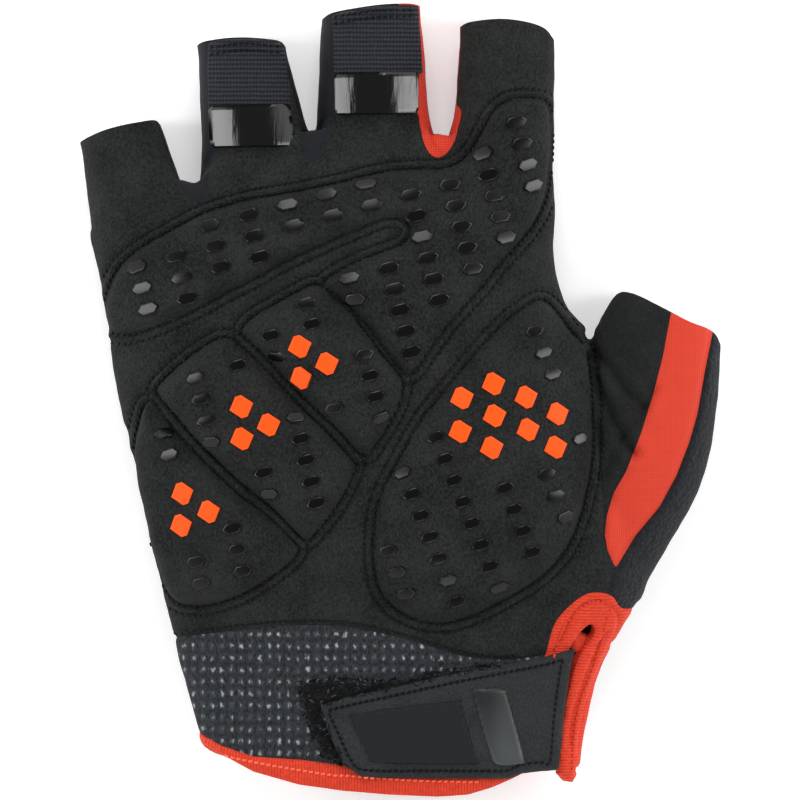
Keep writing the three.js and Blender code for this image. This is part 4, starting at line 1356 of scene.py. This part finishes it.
class MITT_OT_pads(bpy.types.Operator):
    """Gel pads: knuckle pad, three cushions and thumb pad"""

    bl_idname = "mitt.pads"
    bl_label = "Gel pads"

    def execute(self, context):
        f = fields()
        for name in PADS:
            cuts = [f[name], f["rise"], f["tips"], -f["side strips"], -f["cuff"]]
            thick = sizes().cloth_wall * 1000 + 1.6
            piece = cloth("gel_" + name, cuts, "leather", [name], bottom=-thick)
        return {"FINISHED"}


class MITT_OT_back(bpy.types.Operator):
    """Stretch back of the hand and fingers"""

    bl_idname = "mitt.back"
    bl_label = "Back"

    def execute(self, context):
        f = fields()
        cuts = [-f["rise"], -f["cuff"], -f["tape"], -f["terry"], -f["side strips"], f["tips"]]
        piece = cloth(
            "back", cuts, "lycra", ["back_panel", "back_fingers"], crown=0.1,
            crown_width=0.6,
        )
        declare_sheet(piece)
        return {"FINISHED"}


class MITT_OT_fourchettes(bpy.types.Operator):
    """Side strips and webs between the fingers"""

    bl_idname = "mitt.fourchettes"
    bl_label = "Side strips"

    def execute(self, context):
        f = fields()
        for key in FOURCHETTES:
            red = key == "middle_index"
            piece = cloth(
                "side_strip_" + key, [f[key], f["tips"]], "red_lycra" if red else "lycra",
                ["fourchette_" + key],
            )
            declare_sheet(piece)
        return {"FINISHED"}


class MITT_OT_thumb(bpy.types.Operator):
    """Thumb: suede, red stripe and terry wipe panel"""

    bl_idname = "mitt.thumb"
    bl_label = "Thumb"

    def execute(self, context):
        f = fields()
        shared = [f["rise"], f["thumb"], f["tips"], -f["tape"], -f["cuff"]]
        panels = [
            ("thumb", shared + [-f["stripe"], -f["terry"]], "thumb_leather", "thumb_leather", "thumb_panel"),
            ("stripe", shared + [f["stripe"], -f["terry"]], "red_twill", "stripe_red", "thumb_stripe"),
            ("terry", [f["terry"], f["tips"], -f["tape"], -f["cuff"]], "terry_cloth", "terry", "thumb_terry"),
        ]
        for name, cuts, material, slot, replaced in panels:
            piece = cloth(name, cuts, material, [replaced], crown=0.15, crown_width=0.8)
            declare_sheet(piece)
        return {"FINISHED"}


class MITT_OT_cuff(bpy.types.Operator):
    """Heather knit cuff around the wrist"""

    bl_idname = "mitt.cuff"
    bl_label = "Knit cuff"

    def execute(self, context):
        f = fields()
        cuts = [f["cuff"], -f["hem tape"], -f["tape"]]
        declare_sheet(cloth("cuff", cuts, "heather", ["cuff_knit"], crown=0.2))
        return {"FINISHED"}


class MITT_OT_tapes(bpy.types.Operator):
    """Red tapes around the hem and the wrist slit"""

    bl_idname = "mitt.tapes"
    bl_label = "Tapes"

    def execute(self, context):
        f = fields()
        wall = sizes().cloth_wall * 1000
        cuts = [f["hem tape"], f["hem"], -f["tape"]]
        hem = cloth(
            "hem_tape", cuts, "tape", ["hem_binding"], bottom=-wall - 0.5, crown=0.6,
            crown_width=1.2, along=lambda co: co[:, 0],
        )
        declare_sheet(hem)
        cuts = [f["tape"], -f["slit"], f["hem"] + 9]
        slit = cloth(
            "slit_tape", cuts, "tape", ["slit_binding"], bottom=-wall - 0.5, crown=0.5,
            crown_width=1.7, along=lambda co: co[:, 1],
        )
        declare_sheet(slit)
        laid("slit_fold", outline("fold", True, False), "tape", [], -2.4, -3.4, 1.2, 1.5, stiff=8)
        return {"FINISHED"}


class MITT_OT_closure(bpy.types.Operator):
    """Loop patch and the strap lying closed on it"""

    bl_idname = "mitt.closure"
    bl_label = "Closure"

    def execute(self, context):
        patch = outline("loop_patch", True, False)
        laid("pile_patch", patch, "loops", ["loop_patch"], 0.6, 0.15, 0.5, 1.0)
        strap = outline("strap", True, False)
        laid(
            "strap", strap, "strap_leather", ["closure_strap"], 0.9, 0.2, 0.8, 1.2,
            stiff=60,
        )
        laid("badge", outline("badge"), "badge_cover", [], 0.1, -0.4, 0.4, 0.5, stiff=4)
        laid("flash", outline("flash"), "flash_cover", [], 0.1, -0.3, 0.45, 0.8, stiff=4)
        chance = np.random.default_rng(7)
        low, high = patch.min(axis=0) - 0.7, patch.max(axis=0) + 0.7
        tries = chance.uniform(low, high, (5200, 2))
        kept = tries[(inside(tries, patch) > -0.6) & (inside(tries, strap) < 0.4)]
        hairs = [(x, y, a, k) for (x, y), a, k in zip(
            kept, chance.uniform(0, math.tau, len(kept)), chance.uniform(0.7, 1.5, len(kept))
        )]
        scattered("pile_hairs", capsule(1.1, 0.11, 4), hairs[::2], "hair_dark")
        # Some loops are grey: a painted highlight on the black pile
        scattered("pile_hairs_painted_highlight", capsule(0.8, 0.08, 4), hairs[1::9], "hair_painted_highlight")
        return {"FINISHED"}


class MITT_OT_tabs(bpy.types.Operator):
    """Webbing and glossy grips of the two pull tabs"""

    bl_idname = "mitt.tabs"
    bl_label = "Pull tabs"

    def execute(self, context):
        for finger in ("ring", "middle"):
            web = inside_tips(outline("webbing_" + finger, True, False))
            laid(
                "tab_" + finger, web, "webbing", ["webbing_" + finger], 0.7, 0.15, 0.35, 0.8,
                stiff=6,
            )
            grip = laid(
                "tab_grip_" + finger, outline("grip_" + finger, True, False), "gloss",
                ["grip_" + finger], 1.3, -1.5, 0.6, 0.5, held=None, finger=finger,
            )
        return {"FINISHED"}


class MITT_OT_dots(bpy.types.Operator):
    """Silicone grip dots and orange print on the pads"""

    bl_idname = "mitt.dots"
    bl_label = "Grip dots"

    def execute(self, context):
        tips = np.array([spot for name in PRINT_SPOTS for spot in PRINT_SPOTS[name]])
        for name, (start, along, down, length, width) in DOTS.items():
            path = outline(name)
            angle = math.atan2(along[1], along[0])
            spots = []
            for i in range(-14, 15):
                for j in range(-16, 17):
                    spot = np.array(start) + np.array(along) * i + np.array(down) * j
                    clear = np.linalg.norm(tips - spot, axis=1).min() > 5
                    if inside(spot[None], path)[0] > 1.5 and clear:
                        spots.append((*spot, angle, 1.0))
            shape = hexagon(length, width, sizes().dot_rise * 1000)
            scattered("dots_" + name, shape, spots, "silicone")
        spots = [(*spot, 0.3, 1.0) for group in PRINT_SPOTS.values() for spot in group]
        scattered("print", hexagon(5.2, 4.7, 0.3), spots, "print_orange")
        return {"FINISHED"}


class MITT_OT_stitches(bpy.types.Operator):
    """Seam and binding stitches"""

    bl_idname = "mitt.stitches"
    bl_label = "Stitches"

    def execute(self, context):
        pitch = sizes().stitch_pitch * 1000
        radius = sizes().thread_radius * 1000
        dark = []
        for name in PADS:
            for shift in (0.3, 1.9):
                dark += along_path(OUTLINES[name], pitch, True, shift, away_from_pads(name, 0.3))
        for name, last in (("cuff_line", -3), ("thumb_seam", -2)):
            dark += along_path(OUTLINES[name][:last], pitch, False, -0.9)
        dark += along_path(OUTLINES["strap"], pitch, True, -1.7)
        for finger in ("ring", "middle"):
            for drop in (0, 1.4):
                line = [(x, y - drop) for x, y in TAB_STITCHES[finger]]
                dark += along_path(line, pitch, False)
        scattered("stitches_dark", capsule(pitch * 0.8, radius), dark, "thread_dark")
        light = along_path(HEM_STITCHES, pitch, False)
        scattered("stitches_hem", capsule(pitch * 0.8, radius), light, "thread_light")
        red = along_path(OUTLINES["slit_tape"][1:9], pitch, False, 1.9)
        red += along_path(LEG_STITCHES, pitch, False)
        scattered("stitches_tape", capsule(pitch * 0.8, radius), red, "thread_red")
        return {"FINISHED"}


class MITT_OT_stage(bpy.types.Operator):
    """Pale floor, studio lights and the camera straight above"""

    bl_idname = "mitt.stage"
    bl_label = "Stage"

    def execute(self, context):
        floor_mesh = bpy.data.meshes.new("floor")
        span = 3.0
        level = -0.0002
        corners = [(-span, -span, level), (span, -span, level), (span, span, level), (-span, span, level)]
        floor_mesh.from_pydata(corners, [], [(0, 1, 2, 3)])
        material, tree, shader = material_named("floor, white", 0.9)
        shader.inputs["Base Color"].default_value = tint("floor")
        shader.inputs["Emission Color"].default_value = (1, 1, 1, 1)
        shader.inputs["Emission Strength"].default_value = 0.3
        floor_mesh.materials.append(material)
        floor = bpy.data.objects.new("floor", floor_mesh)
        context.scene.collection.objects.link(floor)
        world = bpy.data.worlds.new("studio")
        world.use_nodes = True
        tree = world.node_tree
        way = node(tree, "TexCoord").outputs["Generated"]
        height = node(tree, "SeparateXYZ", {0: way}).outputs["Z"]
        glow = node(
            tree, "MapRange",
            {"Value": height, "From Min": 0.55, "From Max": 0.85, "To Min": 1.2, "To Max": 0.14},
        ).outputs[0]
        tree.links.new(glow, tree.nodes["Background"].inputs["Strength"])
        tree.nodes["Background"].inputs["Color"].default_value = (1, 1, 1, 1)
        context.scene.world = world
        lamps = [
            ("top", (0.0, 0.6, 0.6), (0.6, 0.3), 2.2),
            ("bottom", (0.0, -0.6, 0.6), (0.6, 0.3), 0.9),
            ("left", (-0.42, 0.05, 0.3), (0.12, 0.45), 0.95),
            ("right", (0.42, 0.05, 0.3), (0.12, 0.45), 0.95),
        ]
        for name, spot, (width, height), power in lamps:
            light = bpy.data.lights.new(name, "AREA")
            light.shape = "RECTANGLE"
            light.size = width
            light.size_y = height
            light.energy = power
            lamp = bpy.data.objects.new(name, light)
            lamp.location = spot
            up = "Y" if width < height else "X"
            lamp.rotation_euler = (-Vector(spot)).to_track_quat("-Z", up).to_euler()
            context.scene.collection.objects.link(lamp)
        camera_data = bpy.data.cameras.new("camera")
        camera_data.sensor_width = 36
        camera_data.lens = 640.7
        camera_data.clip_end = 20
        camera = bpy.data.objects.new("camera", camera_data)
        camera.location = (0, 0, 3.012)
        context.scene.collection.objects.link(camera)
        context.scene.camera = camera
        context.scene.view_settings.view_transform = "Standard"
        return {"FINISHED"}


OPERATORS = (
    MITT_OT_palm, MITT_OT_pads, MITT_OT_back, MITT_OT_fourchettes, MITT_OT_thumb, MITT_OT_cuff,
    MITT_OT_tapes, MITT_OT_closure, MITT_OT_tabs, MITT_OT_dots, MITT_OT_stitches, MITT_OT_stage,
)


class MITT_PT_panel(bpy.types.Panel):
    """Sizes of the mitt and a button for each group of pieces"""

    bl_idname = "MITT_PT_panel"
    bl_label = "Cycling mitt"
    bl_space_type = "VIEW_3D"
    bl_region_type = "UI"
    bl_category = "Mitt"

    def draw(self, context):
        for name in MittSizes.__annotations__:
            self.layout.prop(context.scene.mitt_sizes, name)
        for name in COLOURS:
            self.layout.prop(context.scene.mitt_colours, name)
        for operator in OPERATORS:
            self.layout.operator(operator.bl_idname)


def register():
    for part in (MittSizes, MittColours, *OPERATORS, MITT_PT_panel):
        bpy.utils.register_class(part)
    bpy.types.Scene.mitt_sizes = bpy.props.PointerProperty(type=MittSizes)
    bpy.types.Scene.mitt_colours = bpy.props.PointerProperty(type=MittColours)


def unregister():
    del bpy.types.Scene.mitt_colours
    del bpy.types.Scene.mitt_sizes
    for part in (MITT_PT_panel, *reversed(OPERATORS), MittColours, MittSizes):
        bpy.utils.unregister_class(part)


def main():
    register()
    for operator in OPERATORS:
        family, name = operator.bl_idname.split(".")
        getattr(getattr(bpy.ops, family), name)()


if __name__ == "__main__":
    main()
